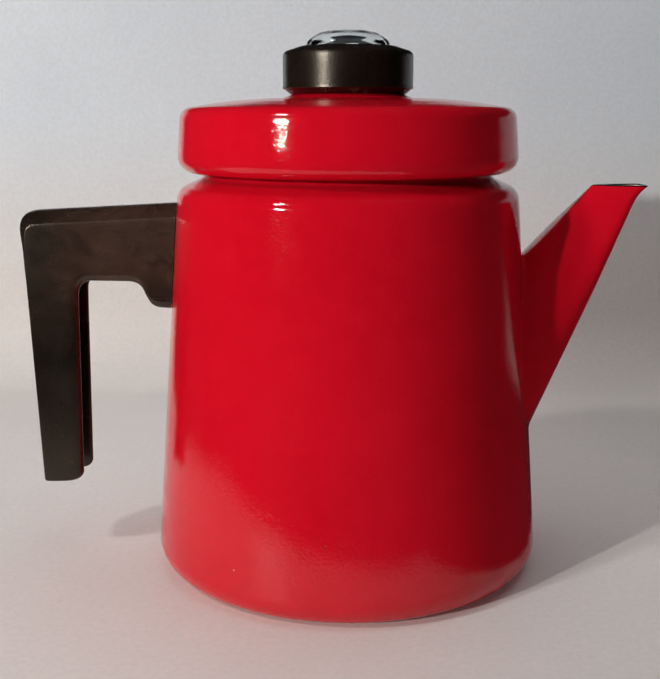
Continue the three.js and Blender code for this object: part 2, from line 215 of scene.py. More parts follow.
def grid_object(name, rows, mats, row_mats=None, wrap_rows=False, wrap_cols=True, sharp=32, caps=()):
    """rows is a list of equally long lists of points in mm."""
    n = len(rows[0])
    verts = [tuple(c * MM for c in p) for row in rows for p in row]
    faces, fm = [], []
    R = len(rows)
    for i in range(R if wrap_rows else R - 1):
        i2 = (i + 1) % R
        for k in range(n if wrap_cols else n - 1):
            k2 = (k + 1) % n
            faces.append((i * n + k, i2 * n + k, i2 * n + k2, i * n + k2))
            fm.append(row_mats[i] if row_mats else 0)
    for i in caps:
        faces.append(tuple(range(i * n, i * n + n)))
        fm.append(row_mats[i % R] if row_mats else 0)
    return new_object(name, verts, faces, mats, fm, sharp)


def cut(ob, cutter, sharp=32):
    """Exact boolean difference, applied to the mesh. The cutter is removed."""
    mod = ob.modifiers.new("cut", "BOOLEAN")
    mod.operation = "DIFFERENCE"
    mod.solver = "EXACT"
    mod.object = cutter
    bpy.context.view_layer.update()
    dg = bpy.context.evaluated_depsgraph_get()
    me = bpy.data.meshes.new_from_object(ob.evaluated_get(dg))
    ob.modifiers.clear()
    old = ob.data
    ob.data = me
    me.name = ob.name
    bpy.data.meshes.remove(old)
    bpy.data.objects.remove(cutter)
    me.polygons.foreach_set("use_smooth", [True] * len(me.polygons))
    me.set_sharp_from_angle(angle=math.radians(sharp))
    return ob


def cylinders(name, centres, r, z0, z1, seg=16):
    verts, faces = [], []
    for x, y in centres:
        b = len(verts)
        for z in (z0, z1):
            for k in range(seg):
                a = 2 * math.pi * (k + 0.5) / seg
                verts.append(((x + r * math.cos(a)) * MM, (y + r * math.sin(a)) * MM, z * MM))
        faces.append(tuple(range(b + seg - 1, b - 1, -1)))
        faces.append(tuple(range(b + seg, b + 2 * seg)))
        for k in range(seg):
            k2 = (k + 1) % seg
            faces.append((b + k, b + k2, b + seg + k2, b + seg + k))
    me = bpy.data.meshes.new(name)
    me.from_pydata(verts, [], faces)
    ob = bpy.data.objects.new(name, me)
    bpy.context.scene.collection.objects.link(ob)
    return ob


def bevel_solid(name, outline, y0, y1, mats, width=0.4, segments=3, sharp=35):
    """Outline of (x, z) in mm pulled from y0 to y1, with its edges rounded."""
    bm = bmesh.new()
    n = len(outline)
    a = [bm.verts.new((x * MM, y0 * MM, z * MM)) for x, z in outline]
    b = [bm.verts.new((x * MM, y1 * MM, z * MM)) for x, z in outline]
    bm.faces.new(a)
    bm.faces.new(b[::-1])
    for k in range(n):
        k2 = (k + 1) % n
        bm.faces.new((a[k], b[k], b[k2], a[k2]))
    bmesh.ops.recalc_face_normals(bm, faces=bm.faces)
    hard = [e for e in bm.edges if e.calc_face_angle(0) > math.radians(30)]
    bmesh.ops.bevel(bm, geom=hard, offset=width * MM, segments=segments, profile=0.5, affect="EDGES", clamp_overlap=True)
    me = bpy.data.meshes.new(name)
    bm.to_mesh(me)
    bm.free()
    for m in mats:
        me.materials.append(m)
    me.polygons.foreach_set("use_smooth", [True] * len(me.polygons))
    me.set_sharp_from_angle(angle=math.radians(sharp))
    ob = bpy.data.objects.new(name, me)
    bpy.context.scene.collection.objects.link(ob)
    return ob


def join(name, *obs):
    """One object holding the meshes of several."""
    bm = bmesh.new()
    mats = []
    for o in obs:
        m = o.data.copy()
        index = []
        for s in o.data.materials:
            if s not in mats:
                mats.append(s)
            index.append(mats.index(s))
        for p in m.polygons:
            p.material_index = index[p.material_index] if index else 0
        bm.from_mesh(m)
        bpy.data.meshes.remove(m)
    me = bpy.data.meshes.new(name)
    bm.to_mesh(me)
    bm.free()
    for m in mats:
        me.materials.append(m)
    me.polygons.foreach_set("use_smooth", [True] * len(me.polygons))
    me.set_sharp_from_angle(angle=math.radians(32))
    for o in obs:
        bpy.data.objects.remove(o)
    ob = bpy.data.objects.new(name, me)
    bpy.context.scene.collection.objects.link(ob)
    return ob


# ------------------------------------------------------------------ material helpers
class Mat:
    def __init__(self, name):
        self.m = bpy.data.materials.new(name)
        self.m.use_nodes = True
        self.nt = self.m.node_tree
        self.nt.nodes.clear()
        self.out = self.n("ShaderNodeOutputMaterial")
        self.p = self.n("ShaderNodeBsdfPrincipled")
        self.link(self.p.outputs[0], self.out.inputs["Surface"])
        self.tc = self.n("ShaderNodeTexCoord")
        self.co = self.tc.outputs["Object"]

    def n(self, kind, **kw):
        node = self.nt.nodes.new(kind)
        for k, v in kw.items():
            setattr(node, k, v)
        return node

    def link(self, a, b):
        self.nt.links.new(a, b)

    def set(self, **kw):
        for k, v in kw.items():
            self.p.inputs[k.replace("_", " ")].default_value = v

    def mapped(self, scale=(1, 1, 1), loc=(0, 0, 0), rot=(0, 0, 0), src=None):
        mp = self.n("ShaderNodeMapping")
        self.link(src or self.co, mp.inputs["Vector"])
        mp.inputs["Scale"].default_value = scale
        mp.inputs["Location"].default_value = loc
        mp.inputs["Rotation"].default_value = rot
        return mp.outputs[0]

    def noise(self, scale, detail=4, rough=0.5, distort=0.0, src=None, dims="3D"):
        t = self.n("ShaderNodeTexNoise", noise_dimensions=dims)
        t.inputs["Scale"].default_value = scale
        t.inputs["Detail"].default_value = detail
        t.inputs["Roughness"].default_value = rough
        t.inputs["Distortion"].default_value = distort
        self.link(src or self.co, t.inputs["Vector"])
        return t.outputs["Fac"]

    def voronoi(self, scale, feature="F1", src=None, rnd=1.0):
        t = self.n("ShaderNodeTexVoronoi", feature=feature)
        t.inputs["Scale"].default_value = scale
        t.inputs["Randomness"].default_value = rnd
        self.link(src or self.co, t.inputs["Vector"])
        return t

    def ramp(self, fac, stops, interp="LINEAR"):
        r = self.n("ShaderNodeValToRGB")
        r.color_ramp.interpolation = interp
        e = r.color_ramp.elements
        while len(e) < len(stops):
            e.new(0.5)
        for k, (pos, col) in enumerate(stops):
            e[k].position = pos
            e[k].color = col if hasattr(col, "__len__") else (col, col, col, 1)
        self.link(fac, r.inputs["Fac"])
        return r.outputs["Color"]

    def math(self, op, a, b=None, clamp=False):
        m = self.n("ShaderNodeMath", operation=op, use_clamp=clamp)
        for i, v in enumerate((a, b)):
            if v is None:
                continue
            if isinstance(v, (int, float)):
                m.inputs[i].default_value = v
            else:
                self.link(v, m.inputs[i])
        return m.outputs[0]

    def mix(self, fac, a, b, blend="MIX"):
        m = self.n("ShaderNodeMix", data_type="RGBA", blend_type=blend)
        for sock, v in ((m.inputs[0], fac), (m.inputs[6], a), (m.inputs[7], b)):
            if isinstance(v, (int, float)):
                sock.default_value = v
            elif isinstance(v, (tuple, list)):
                sock.default_value = tuple(v) if len(v) == 4 else tuple(v) + (1,)
            else:
                self.link(v, sock)
        return m.outputs[2]

    def maprange(self, v, a, b, c, d, clamp=True):
        m = self.n("ShaderNodeMapRange")
        m.clamp = clamp
        self.link(v, m.inputs[0])
        for i, x in enumerate((a, b, c, d)):
            m.inputs[i + 1].default_value = x
        return m.outputs[0]

    def xyz(self, src=None):
        s = self.n("ShaderNodeSeparateXYZ")
        self.link(src or self.co, s.inputs[0])
        return s.outputs

    def bump(self, height, dist, strength=1.0, normal=None):
        b = self.n("ShaderNodeBump")
        b.inputs["Strength"].default_value = strength
        b.inputs["Distance"].default_value = dist
        self.link(height, b.inputs["Height"])
        if normal is not None:
            self.link(normal, b.inputs["Normal"])
        return b.outputs[0]

    def color(self, c):
        self.link(c, self.p.inputs["Base Color"]) if not isinstance(c, tuple) else self.p.inputs["Base Color"].__setattr__("default_value", c)

    def rough(self, r):
        self.link(r, self.p.inputs["Roughness"])

    def normal(self, n):
        self.link(n, self.p.inputs["Normal"])


def rgb(r, g, b):
    """sRGB 0-255 to linear."""
    f = lambda c: c / 12.92 if c <= 0.04045 else ((c + 0.055) / 1.055) ** 2.4
    return (f(r / 255), f(g / 255), f(b / 255), 1.0)


def enamel(name, main, deep, light, speck_dark, speck_light, rough=(0.045, 0.12), base_wear=True, coat=0.0, peel_depth=0.00006):
    """Vitreous enamel: even glossy glass over steel, a faint orange peel, pinholes, and a few fired-in specks."""
    m = Mat(name)
    big = m.noise(22.0, 3, 0.5, 0.3)
    fine = m.noise(140.0, 4, 0.55)
    col = m.mix(m.maprange(big, 0.35, 0.68, 0.0, 1.0), deep, main)
    col = m.mix(m.maprange(fine, 0.42, 0.75, 0.0, 0.35), col, light)
    # pinholes: rare cells of a fine pattern, sparse on the wall and denser near the foot
    z = m.xyz()[2]
    low = m.maprange(z, 0.004, 0.055, 1.0, 0.0)
    v = m.voronoi(420.0)
    dot = m.maprange(v.outputs["Distance"], 0.10, 0.16, 1.0, 0.0)
    pick = m.n("ShaderNodeSeparateColor")
    m.link(v.outputs["Color"], pick.inputs[0])
    chance = m.math("SUBTRACT", 0.9975, m.math("MULTIPLY", low, 0.035)) if base_wear else 0.9985
    on = m.math("GREATER_THAN", pick.outputs[0], chance)
    pin = m.math("MULTIPLY", dot, on)
    v2 = m.voronoi(260.0, src=m.mapped(loc=(0.31, 0.17, 0.53)))
    dot2 = m.maprange(v2.outputs["Distance"], 0.05, 0.11, 1.0, 0.0)
    pick2 = m.n("ShaderNodeSeparateColor")
    m.link(v2.outputs["Color"], pick2.inputs[0])
    chance2 = m.math("SUBTRACT", 0.9985, m.math("MULTIPLY", low, 0.012)) if base_wear else 0.999
    on2 = m.math("GREATER_THAN", pick2.outputs[1], chance2)
    chip = m.math("MULTIPLY", dot2, on2)
    col = m.mix(m.math("MULTIPLY", pin, 0.9), col, speck_dark)
    col = m.mix(m.math("MULTIPLY", chip, 0.85), col, speck_light)
    m.color(col)
    # wipe marks make the gloss uneven; fine hairlines catch the light
    smear = m.noise(30.0, 5, 0.62, 1.2, src=m.mapped(scale=(1.0, 1.0, 0.35)))
    hair = m.noise(900.0, 2, 0.5, 0.0, src=m.mapped(scale=(0.05, 1.0, 1.0), rot=(0.3, 0.9, 0.4)))
    r = m.maprange(smear, 0.35, 0.72, rough[0], rough[1])
    r = m.math("ADD", r, m.math("MULTIPLY", m.maprange(hair, 0.64, 0.72, 0.0, 1.0), 0.05))
    r = m.math("ADD", r, m.math("MULTIPLY", pin, 0.4))
    m.rough(r)
    peel = m.noise(1050.0, 2, 0.5)
    ripple = m.noise(150.0, 2, 0.45)
    wave = m.noise(14.0, 1, 0.3)
    n1 = m.bump(wave, 0.0011, 0.22)
    n2 = m.bump(ripple, 0.00010, 0.30, n1)
    n3 = m.bump(peel, peel_depth, 1.0, n2)
    n4 = m.bump(m.math("SUBTRACT", 1.0, m.math("ADD", pin, m.math("MULTIPLY", chip, 0.6))), 0.00012, 0.7, n3)
    m.normal(n4)
    m.set(IOR=1.52, Specular_IOR_Level=0.5)
    m.p.inputs["Coat Weight"].default_value = coat
    m.p.inputs["Coat Roughness"].default_value = 0.03
    return m.m


RED = enamel("enamel_red", (0.68, 0.0042, 0.018, 1.0), (0.63, 0.003, 0.0145, 1.0), (0.74, 0.008, 0.024, 1.0), rgb(58, 6, 8), rgb(232, 214, 196))
CREAM = enamel("enamel_cream", rgb(236, 230, 210), rgb(226, 218, 196), rgb(242, 238, 224), rgb(92, 80, 66), rgb(150, 140, 120),
               rough=(0.07, 0.18), base_wear=False)
EDGE = enamel("enamel_edge_black", rgb(22, 17, 16), rgb(14, 11, 11), rgb(40, 30, 27), rgb(8, 6, 6), rgb(96, 84, 76),
              rough=(0.10, 0.28), base_wear=False)


def bakelite(name, faded=False):
    """Black-brown phenolic moulding: cloudy flow marks, ridges lightened by rubbing wear and by a painted highlight
    line, small chips and hairline scratches.
    The handle's arm has faded to brown by the pot, where it gets hot, and keeps its black on the grip."""
    m = Mat(name)
    flow = m.noise(26.0, 5, 0.6, 1.6)
    cloud = m.noise(11.0, 3, 0.5, 1.4, src=m.mapped(loc=(0.2, 0.4, 0.1)))
    col = m.mix(m.maprange(flow, 0.36, 0.68, 0.0, 1.0), rgb(13, 9, 7), rgb(27, 20, 15))
    col = m.mix(m.maprange(cloud, 0.42, 0.68, 0.0, 0.75), col, rgb(43, 32, 22))
    if faded:
        x, y, z = m.xyz()
        drift = m.math("MULTIPLY", m.math("SUBTRACT", m.noise(38.0, 4, 0.55, 1.0), 0.5), 0.030)
        near = m.math("MULTIPLY", m.maprange(m.math("ADD", x, drift), -0.121, -0.098, 0.0, 1.0), m.maprange(m.math("ADD", z, drift), 0.088, 0.112, 0.0, 1.0))
        brown = m.mix(m.maprange(m.noise(55.0, 5, 0.6, 1.8, src=m.mapped(scale=(1.0, 1.0, 1.6))), 0.34, 0.66, 0.0, 1.0), rgb(46, 32, 25), rgb(68, 49, 40))
        col = m.mix(near, col, brown)
    grit = m.noise(700.0, 3, 0.6)
    col = m.mix(m.maprange(grit, 0.60, 0.78, 0.0, 0.25), col, rgb(60, 48, 36))
    geo = m.n("ShaderNodeNewGeometry")
    # ridges and sharp edges lighter: partly rubbed wear, partly a painted highlight line along the ridges
    wear_and_ridge_sheen = m.math("MULTIPLY", m.maprange(geo.outputs["Pointiness"], 0.515, 0.58, 0.0, 1.0), m.maprange(m.noise(160.0, 4, 0.6), 0.38, 0.62, 0.15, 1.0))
    col = m.mix(m.math("MULTIPLY", wear_and_ridge_sheen, 0.40), col, rgb(92, 74, 56))
    v = m.voronoi(300.0)
    pick = m.n("ShaderNodeSeparateColor")
    m.link(v.outputs["Color"], pick.inputs[0])
    chip = m.math("MULTIPLY", m.maprange(v.outputs["Distance"], 0.05, 0.14, 1.0, 0.0), m.math("GREATER_THAN", pick.outputs[0], 0.991))
    tone = m.mix(m.math("GREATER_THAN", pick.outputs[1], 0.6), rgb(6, 4, 4), rgb(120, 102, 82))
    col = m.mix(m.math("MULTIPLY", chip, 0.7), col, tone)
    scr = m.noise(420.0, 2, 0.5, 0.4, src=m.mapped(scale=(1.0, 1.0, 0.03), rot=(0.15, 0.5, 0.2)))
    scr2 = m.noise(380.0, 2, 0.5, 0.3, src=m.mapped(scale=(0.03, 1.0, 1.0), rot=(0.2, 0.35, -0.3)))
    line = m.math("MAXIMUM", m.maprange(scr, 0.70, 0.76, 0.0, 1.0), m.maprange(scr2, 0.71, 0.77, 0.0, 1.0))
    col = m.mix(m.math("MULTIPLY", line, 0.16), col, rgb(104, 88, 70))
    m.color(col)
    r = m.maprange(m.noise(48.0, 5, 0.6, 0.6), 0.3, 0.72, 0.22, 0.34)
    r = m.math("ADD", r, m.math("MULTIPLY", wear_and_ridge_sheen, 0.10))
    r = m.math("ADD", r, m.math("MULTIPLY", line, 0.12))
    m.rough(r)
    n1 = m.bump(m.noise(60.0, 3, 0.5), 0.0003, 0.18)
    n2 = m.bump(m.noise(1100.0, 3, 0.6), 0.00006, 0.9, n1)
    n3 = m.bump(m.math("SUBTRACT", 1.0, m.math("ADD", chip, m.math("MULTIPLY", line, 0.25))), 0.00010, 0.8, n2)
    m.normal(n3)
    m.set(IOR=1.55, Specular_IOR_Level=0.5)
    m.p.inputs["Specular Tint"].default_value = (1.0, 0.90, 0.76, 1)
    return m.m


BAKELITE = bakelite("bakelite")
FADED = bakelite("bakelite_faded", True)


def spun_metal(name, base, dark, rough=(0.24, 0.42), ring_scale=2600.0, metallic=1.0, stain=None):
    """Metal turned or spun about Z: fine rings, a little oxide cloudiness, small dents."""
    m = Mat(name)
    x, y, z = m.xyz()
    rad = m.math("SQRT", m.math("ADD", m.math("MULTIPLY", x, x), m.math("MULTIPLY", y, y)))
    comb = m.n("ShaderNodeCombineXYZ")
    m.link(rad, comb.inputs[0])
    m.link(m.math("MULTIPLY", z, 1.0), comb.inputs[2])
    rings = m.noise(ring_scale, 3, 0.6, 0.0, src=comb.outputs[0])
    cloud = m.noise(45.0, 5, 0.62, 0.8)
    col = m.mix(m.maprange(cloud, 0.35, 0.70, 0.0, 1.0), base, dark)
    col = m.mix(m.maprange(rings, 0.35, 0.75, 0.0, 0.35), col, dark)
    if stain:
        s = m.math("MULTIPLY", m.maprange(m.noise(70.0, 6, 0.7, 1.5), 0.52, 0.70, 0.0, 1.0), 0.6)
        col = m.mix(s, col, stain)
    m.color(col)
    r = m.maprange(rings, 0.3, 0.75, rough[0], rough[1])
    r = m.math("ADD", r, m.maprange(cloud, 0.5, 0.75, 0.0, 0.12))
    m.rough(r)
    n1 = m.bump(rings, 0.00002, 0.45)
    n2 = m.bump(m.noise(120.0, 3, 0.5), 0.00015, 0.15, n1)
    m.normal(n2)
    m.set(Metallic=metallic)
    return m.m


ALUMINIUM = spun_metal("aluminium_spun", rgb(206, 207, 208), rgb(172, 173, 174), stain=rgb(138, 116, 88))
STEEL = spun_metal("steel_plated", rgb(176, 176, 178), rgb(136, 136, 138), rough=(0.26, 0.46), ring_scale=1900.0)
BRASS = spun_metal("brass_turned", rgb(190, 152, 84), rgb(150, 114, 58), rough=(0.22, 0.4), ring_scale=2200.0)


def sight_glass():
    """Pressed clear glass with a faint grey-green body, mould waviness and a little scratching."""
    m = Mat("sight_glass")
    m.set(IOR=1.5, Roughness=0.02)
    m.p.inputs["Base Color"].default_value = (0.90, 0.95, 0.945, 1)
    m.p.inputs["Transmission Weight"].default_value = 1.0
    wob = m.noise(55.0, 2, 0.4)
    n1 = m.bump(wob, 0.0006, 0.3)
    scr = m.noise(500.0, 2, 0.5, 0.3, src=m.mapped(scale=(0.05, 1, 1), rot=(0.3, 0.2, 0.8)))
    n2 = m.bump(m.maprange(scr, 0.68, 0.76, 1.0, 0.0), 0.00002, 0.5, n1)
    m.normal(n2)
    m.rough(m.maprange(m.noise(160.0, 4, 0.6), 0.4, 0.75, 0.01, 0.07))
    return m.m


GLASS = sight_glass()


def rubber():
    m = Mat("seal_rubber")
    n = m.noise(260.0, 4, 0.6)
    m.color(m.mix(m.maprange(n, 0.35, 0.7, 0.0, 1.0), rgb(38, 34, 32), rgb(60, 54, 50)))
    m.rough(m.maprange(n, 0.3, 0.7, 0.55, 0.8))
    m.normal(m.bump(m.noise(900.0, 3, 0.6), 0.00005, 0.5))
    return m.m


RUBBER = rubber()

# ------------------------------------------------------------------ camera, in the frame, before the pieces
cam_data = bpy.data.cameras.new("camera")
cam_data.sensor_fit = "HORIZONTAL"
cam_data.sensor_width = 36.0
cam_data.lens = 36.0 * 1077.07 / 660.0
cam_data.clip_start = 0.01
cam_data.clip_end = 20.0
cam = bpy.data.objects.new("camera", cam_data)
bpy.context.scene.collection.objects.link(cam)
cam.location = (0.0, -0.41162, 0.17187)
cam.rotation_euler = (math.radians(90 - 11.766), math.radians(0.0), math.radians(0.931))
bpy.context.scene.camera = cam

# ------------------------------------------------------------------ spout geometry (mm)
SPOUT_UP = [(55.0, 107.3), (67.3, 120.3), (92.1, 146.0)]
UP_BREAKS = [-0.4, 0.0, 1.0]
SPOUT_LOW = [(64.3, 37.7), (70.9, 53.3), (106.6, 138.0), (108.1, 141.4), (110.0, 143.9), (112.7, 146.0)]
LOW_BREAKS = [-0.4, 0.0, 0.88, 0.93, 0.965, 1.0]


def smooth_curve(points, breaks, soft):
    """Piecewise line whose inner corners are eased over a share of the parameter."""
    P = np.array(points, float)
    B = np.array(breaks, float)

    def at(t):
        return np.array([np.interp(t, B, P[:, 0]), np.interp(t, B, P[:, 1])])

    def ease(t):
        if t < 0.8:
            return at(t) if t < B[-1] else at(B[-1])
        w = np.linspace(-soft, soft, 9)
        return np.mean([at(min(t + q * min(1.0, (1.0 - t) / soft if soft else 1.0), 1.0)) for q in w], axis=0)

    def outside(t):
        if t <= 1.0:
            return ease(t)
        d = P[-1] - P[-2]
        return P[-1] + d / (B[-1] - B[-2]) * (t - 1.0)

    return outside


spout_up = smooth_curve(SPOUT_UP, UP_BREAKS, 0.0)
spout_low = smooth_curve(SPOUT_LOW, LOW_BREAKS, 0.022)


def side_share(c, draw):
    """Half width along the section, from the front edge at -1 to the back edge at 1: an oval near the pot, a flat-sided
    wedge with a round back edge at the mouth."""
    p = 2.15 + 1.35 * min(1.0, draw * 2.2)
    wedge = 1.0 - 0.80 * draw * (1.0 - c) / 2
    return max(0.0, 1.0 - abs(c) ** p) ** (1.0 / p) * wedge


def spout_point(theta, t, inset=0.0):
    u, l = spout_up(t), spout_low(t)
    mid, ax = (u + l) / 2, (l - u) / 2
    L = np.linalg.norm(ax)
    ax = ax / L
    tt = max(-0.4, min(1.0, t))
    draw = max(tt, 0.0) ** 1.5
    half = SPOUT_ROOT_HALF + (SPOUT_RIM_HALF - SPOUT_ROOT_HALF) * tt
    c, s = math.cos(theta), math.sin(theta)
    outer = np.array([mid[0] + ax[0] * L * c, half * math.copysign(side_share(c, draw), s), mid[1] + ax[1] * L * c])
    if inset <= 0:
        return outer
    fold = 0.5 + (SPOUT_FOLD - 0.5) * draw
    m2 = mid + ax * fold / 2
    reach = L - SHEET - fold / 2
    inner = np.array([m2[0] + ax[0] * reach * c, (half - SHEET * (1.15 + 0.5 * draw)) * math.copysign(side_share(c, draw), s), m2[1] + ax[1] * reach * c])
    return outer + (inner - outer) * (inset / SHEET)


def body_gap(p):
    return math.hypot(p[0], p[1]) - wall_r(p[2])


def spout_hit(theta, inset, depth=0.0):
    """Parameter where the spout's generator meets the wall, sunk by depth."""
    lo, hi = -0.4, 0.9
    for _ in range(50):
        mid = (lo + hi) / 2
        if body_gap(spout_point(theta, mid, inset)) + depth > 0:
            hi = mid
        else:
            lo = mid
    return (lo + hi) / 2


def onto_wall(p, out=0.0):
    r = wall_r(p[2]) + out
    k = r / math.hypot(p[0], p[1])
    return np.array([p[0] * k, p[1] * k, p[2]])


def build_spout():
    N = 128
    thetas = [2 * math.pi * k / N for k in range(N)]
    hits = [spout_hit(t, 0.0) for t in thetas]
    P1 = [spout_point(t, h) for t, h in zip(thetas, hits)]
    centre = np.mean(P1, axis=0)
    rows_weld = []
    m = 7
    ctrl = []
    for k, (t, h) in enumerate(zip(thetas, hits)):
        p = P1[k]
        q = P1[(k + 1) % N] - P1[k - 1]
        q /= np.linalg.norm(q)
        n = np.array([p[0], p[1], 0.0])
        n /= np.linalg.norm(n)
        d = np.cross(n, q)
        if d @ (p - centre) < 0:
            d = -d
        weld = 1.5 + 0.8 * (1 - math.cos(t)) / 2
        foot = onto_wall(p + d * weld, -0.03)
        g = spout_point(t, h + 0.02) - p
        g /= np.linalg.norm(g)
        # parameter at which the generator is weld away from the wall contact
        t2 = h
        while np.linalg.norm(spout_point(t, t2) - p) < weld * 1.25 and t2 < 0.95:
            t2 += 0.002
        ctrl.append((foot, onto_wall(p, 0.0), spout_point(t, t2), t2))
    for j in range(m + 1):
        s = j / m
        rows_weld.append([(1 - s) ** 2 * f + 2 * s * (1 - s) * c + s * s * e for f, c, e, _ in ctrl])
    # outer wall from the weld to the rim
    stations = list(np.linspace(0, 1, 30)[1:-1] ** 0.95)
    rows_out = []
    RIM = 1.0
    for s in stations:
        rows_out.append([spout_point(t, c[3] + (0.90 - c[3]) * s) for t, c in zip(thetas, ctrl)])
    for tt in np.linspace(0.90, RIM - 0.004, 12):
        rows_out.append([spout_point(t, tt) for t in thetas])
    # lip: a rounded edge between the outer and the inner wall
    rows_lip = []
    lip = SHEET
    for a in np.linspace(0.0, math.pi, 9):
        inset = lip / 2 * (1 - math.cos(a))
        rows_lip.append([spout_point(t, RIM - 0.0035, inset) + np.array([0, 0, 0.45 * math.sin(a)]) for t in thetas])
    # inner wall back down to the wall of the pot
    inner_hits = [spout_hit(t, SHEET, 0.55) for t in thetas]
    rows_in = []
    for s in np.linspace(0.02, 1.0, 26):
        rows_in.append([spout_point(t, (RIM - 0.004) + (h - RIM + 0.004) * s, SHEET) for t, h in zip(thetas, inner_hits)])
    sunk = [onto_wall(f, -0.55) for f, _, _, _ in ctrl]
    rows = [sunk] + rows_weld + rows_out + rows_lip + rows_in
    mats_idx = [0] * (1 + len(rows_weld) + len(rows_out) - 1)
    mats_idx += [2] * (len(rows_lip))
    mats_idx += [1] * (len(rows) - len(mats_idx))
    ob = grid_object("spout_enamelled", rows, [RED, CREAM, EDGE], mats_idx, wrap_rows=True, sharp=40)
    return ob


def spout_cutter(inset):
    """Oval bore through the wall, inset from the spout's outer skin."""
    N, rows = 64, []
    for t in np.linspace(-0.39, 0.28, 6):
        ring = [spout_point(2 * math.pi * k / N, t) for k in range(N)]
        c = np.mean(ring, axis=0)
        rows.append([c + (p - c) * (1 - inset / max(np.linalg.norm(p - c), 1e-6)) for p in ring])
    return grid_object("cutter", rows, [CREAM], None, wrap_rows=False, caps=(0, len(rows) - 1), sharp=0)


# ------------------------------------------------------------------ pot body
def build_body():
    outer = rounded([
        (0, 0.35, 0, "red"), (57.0, 0.35), (59.5, 0.0), (BASE_R, 0.0, 9.3), (SHOULDER[0], SHOULDER[1], 6.0),
        (NECK_R, NECK_FOOT_Z, 2.5), (NECK_R, NECK_TOP_Z - 1.3, 0, "edge"), (NECK_R, NECK_TOP_Z, 0.75),
        (NECK_R - SHEET - 0.4, NECK_TOP_Z, 0.75), (NECK_R - SHEET - 0.4, NECK_TOP_Z - 1.4, 0, "cream"),
        (NECK_R - SHEET - 0.4, NECK_FOOT_Z - SHEET + 0.2, 2.5),
        (SHOULDER[0] - SHEET, SHOULDER[1] - SHEET, 4.8),
        (BASE_R - SHEET - 0.1, SHEET, 8.1), (0, SHEET + 0.0),
    ])
    outer = split_long(outer, 9.0)
    ob = lathe("pot_enamelled", outer, 288, [RED, CREAM, EDGE], {"red": 0, "cream": 1, "edge": 2}, closed=False, sharp=40)
    cut(ob, spout_cutter(7.0), sharp=40)
    return ob


# ------------------------------------------------------------------ lid
LID_FIT = 0.5
KNOB_FOOT_Z = KNOB_BOTTOM_Z + 0.7


def lid_r(z):
    return wall_r(z) + LID_FIT


def build_lid():
    hem = 55.0
    prof = rounded([
        (hem + 0.5, LID_BOTTOM_Z, 0, "edge"), (hem + 1.6, LID_BOTTOM_Z, 0, "red"),
        (lid_r(LID_BOTTOM_Z), LID_BOTTOM_Z, 6.0), (lid_r(LID_TOP_Z), LID_TOP_Z, 4.4), (54.5, 175.45, 16.0), (47.0, 176.6, 20.0),
        (40.0, 177.35, 25.0), (32.0, 177.85, 25.0), (24.6, 178.1, 1.6), (21.4, KNOB_FOOT_Z - 0.25, 0.5), (20.9, KNOB_FOOT_Z - 0.05),
        (18.0, KNOB_FOOT_Z - 0.05, 0, "cream"), (18.0, KNOB_FOOT_Z - 1.15), (20.4, KNOB_FOOT_Z - 1.15, 0.4), (23.8, 176.95, 1.0),
        (32.0, 176.65, 25.0), (40.0, 176.15, 25.0), (47.0, 175.4, 20.0), (54.5, 174.2, 16.0),
        (lid_r(LID_TOP_Z) - SHEET, LID_TOP_Z - SHEET, 3.2), (lid_r(LID_BOTTOM_Z) - SHEET, LID_BOTTOM_Z + SHEET, 4.8),
        (hem + 0.5, LID_BOTTOM_Z + SHEET, 0, "edge"), (hem, LID_BOTTOM_Z + SHEET * 0.5, 0.5),
    ])
    prof = split_long(prof, 6.0)
    return lathe("lid_enamelled", prof, 288, [RED, CREAM, EDGE], {"red": 0, "cream": 1, "edge": 2}, sharp=40)


def build_lid_sleeve():
    fz = LID_BOTTOM_Z + SHEET + 0.3
    prof = rounded([
        (50.3, 139.0, 0, "edge"), (51.5, 139.0, 0.5), (51.5, 140.2, 0, "cream"), (51.5, fz, 0.3), (57.3, fz, 0.4), (57.3, fz + SHEET, 0.4),
        (50.3, fz + SHEET, 1.6), (50.3, 140.2, 0, "edge"),
    ])
    return lathe("lid_sleeve", split_long(prof, 4.0), 256, [CREAM, CREAM, EDGE], {"cream": 1, "edge": 2}, sharp=40)


# ------------------------------------------------------------------ knob ring, dome and what holds it
def build_knob():
    prof = rounded([
        (18.2, KNOB_FOOT_Z, 0, "b"), (21.5, KNOB_FOOT_Z, 0.25), (23.15, KNOB_FOOT_Z + 1.45, 0.7), (23.45, KNOB_FOOT_Z + 1.75, 0.12),
        (24.35, KNOB_FOOT_Z + 2.0, 0.16), (24.2, KNOB_FOOT_Z + 2.9, 0.6), (24.2, 194.55, 2.0), (17.6, KNOB_TOP_Z, 2.2), (16.4, KNOB_TOP_Z - 0.05, 0.5),
        (15.8, KNOB_TOP_Z - 0.8, 0.3), (15.8, 187.3, 0.1), (18.2, 187.3, 0.1),
    ], fine=0.25)
    return lathe("knob_ring", split_long(prof, 1.6), 200, [BAKELITE], sharp=46)


def build_dome():
    top = [(15.5, 196.9), (15.25, 198.0), (14.55, 198.98), (13.0, 200.1), (10.9, 201.26), (10.0, 201.6), (8.0, 202.1), (6.0, 202.28),
           (4.0, 202.36), (2.0, 202.39), (0.0, DOME_TOP_Z)]
    inner = [(0.0, 199.5), (3.0, 199.42), (6.0, 199.1), (8.6, 198.5), (10.7, 197.6), (12.0, 196.4), (12.5, 195.0), (12.6, 193.0)]
    fine = lambda run, n: [(float(a), float(b), None) for a, b in spline(run, n)]

    prof = [(12.6, 184.3, None), (12.9, 184.0, None), (17.3, 184.0, None), (17.6, 184.3, None), (17.6, 186.7, None), (17.3, 187.0, None),
            (15.9, 187.0, None), (15.5, 187.4, None)] + fine(top, 34) + fine(inner, 24)
    prof = [(max(0.0, a), b, c) for a, b, c in prof]
    # poles stay exactly on the axis
    prof = [((0.0 if a < 0.05 else a), b, c) for a, b, c in prof]
    return lathe("sight_dome", prof, 160, [GLASS], sharp=50)


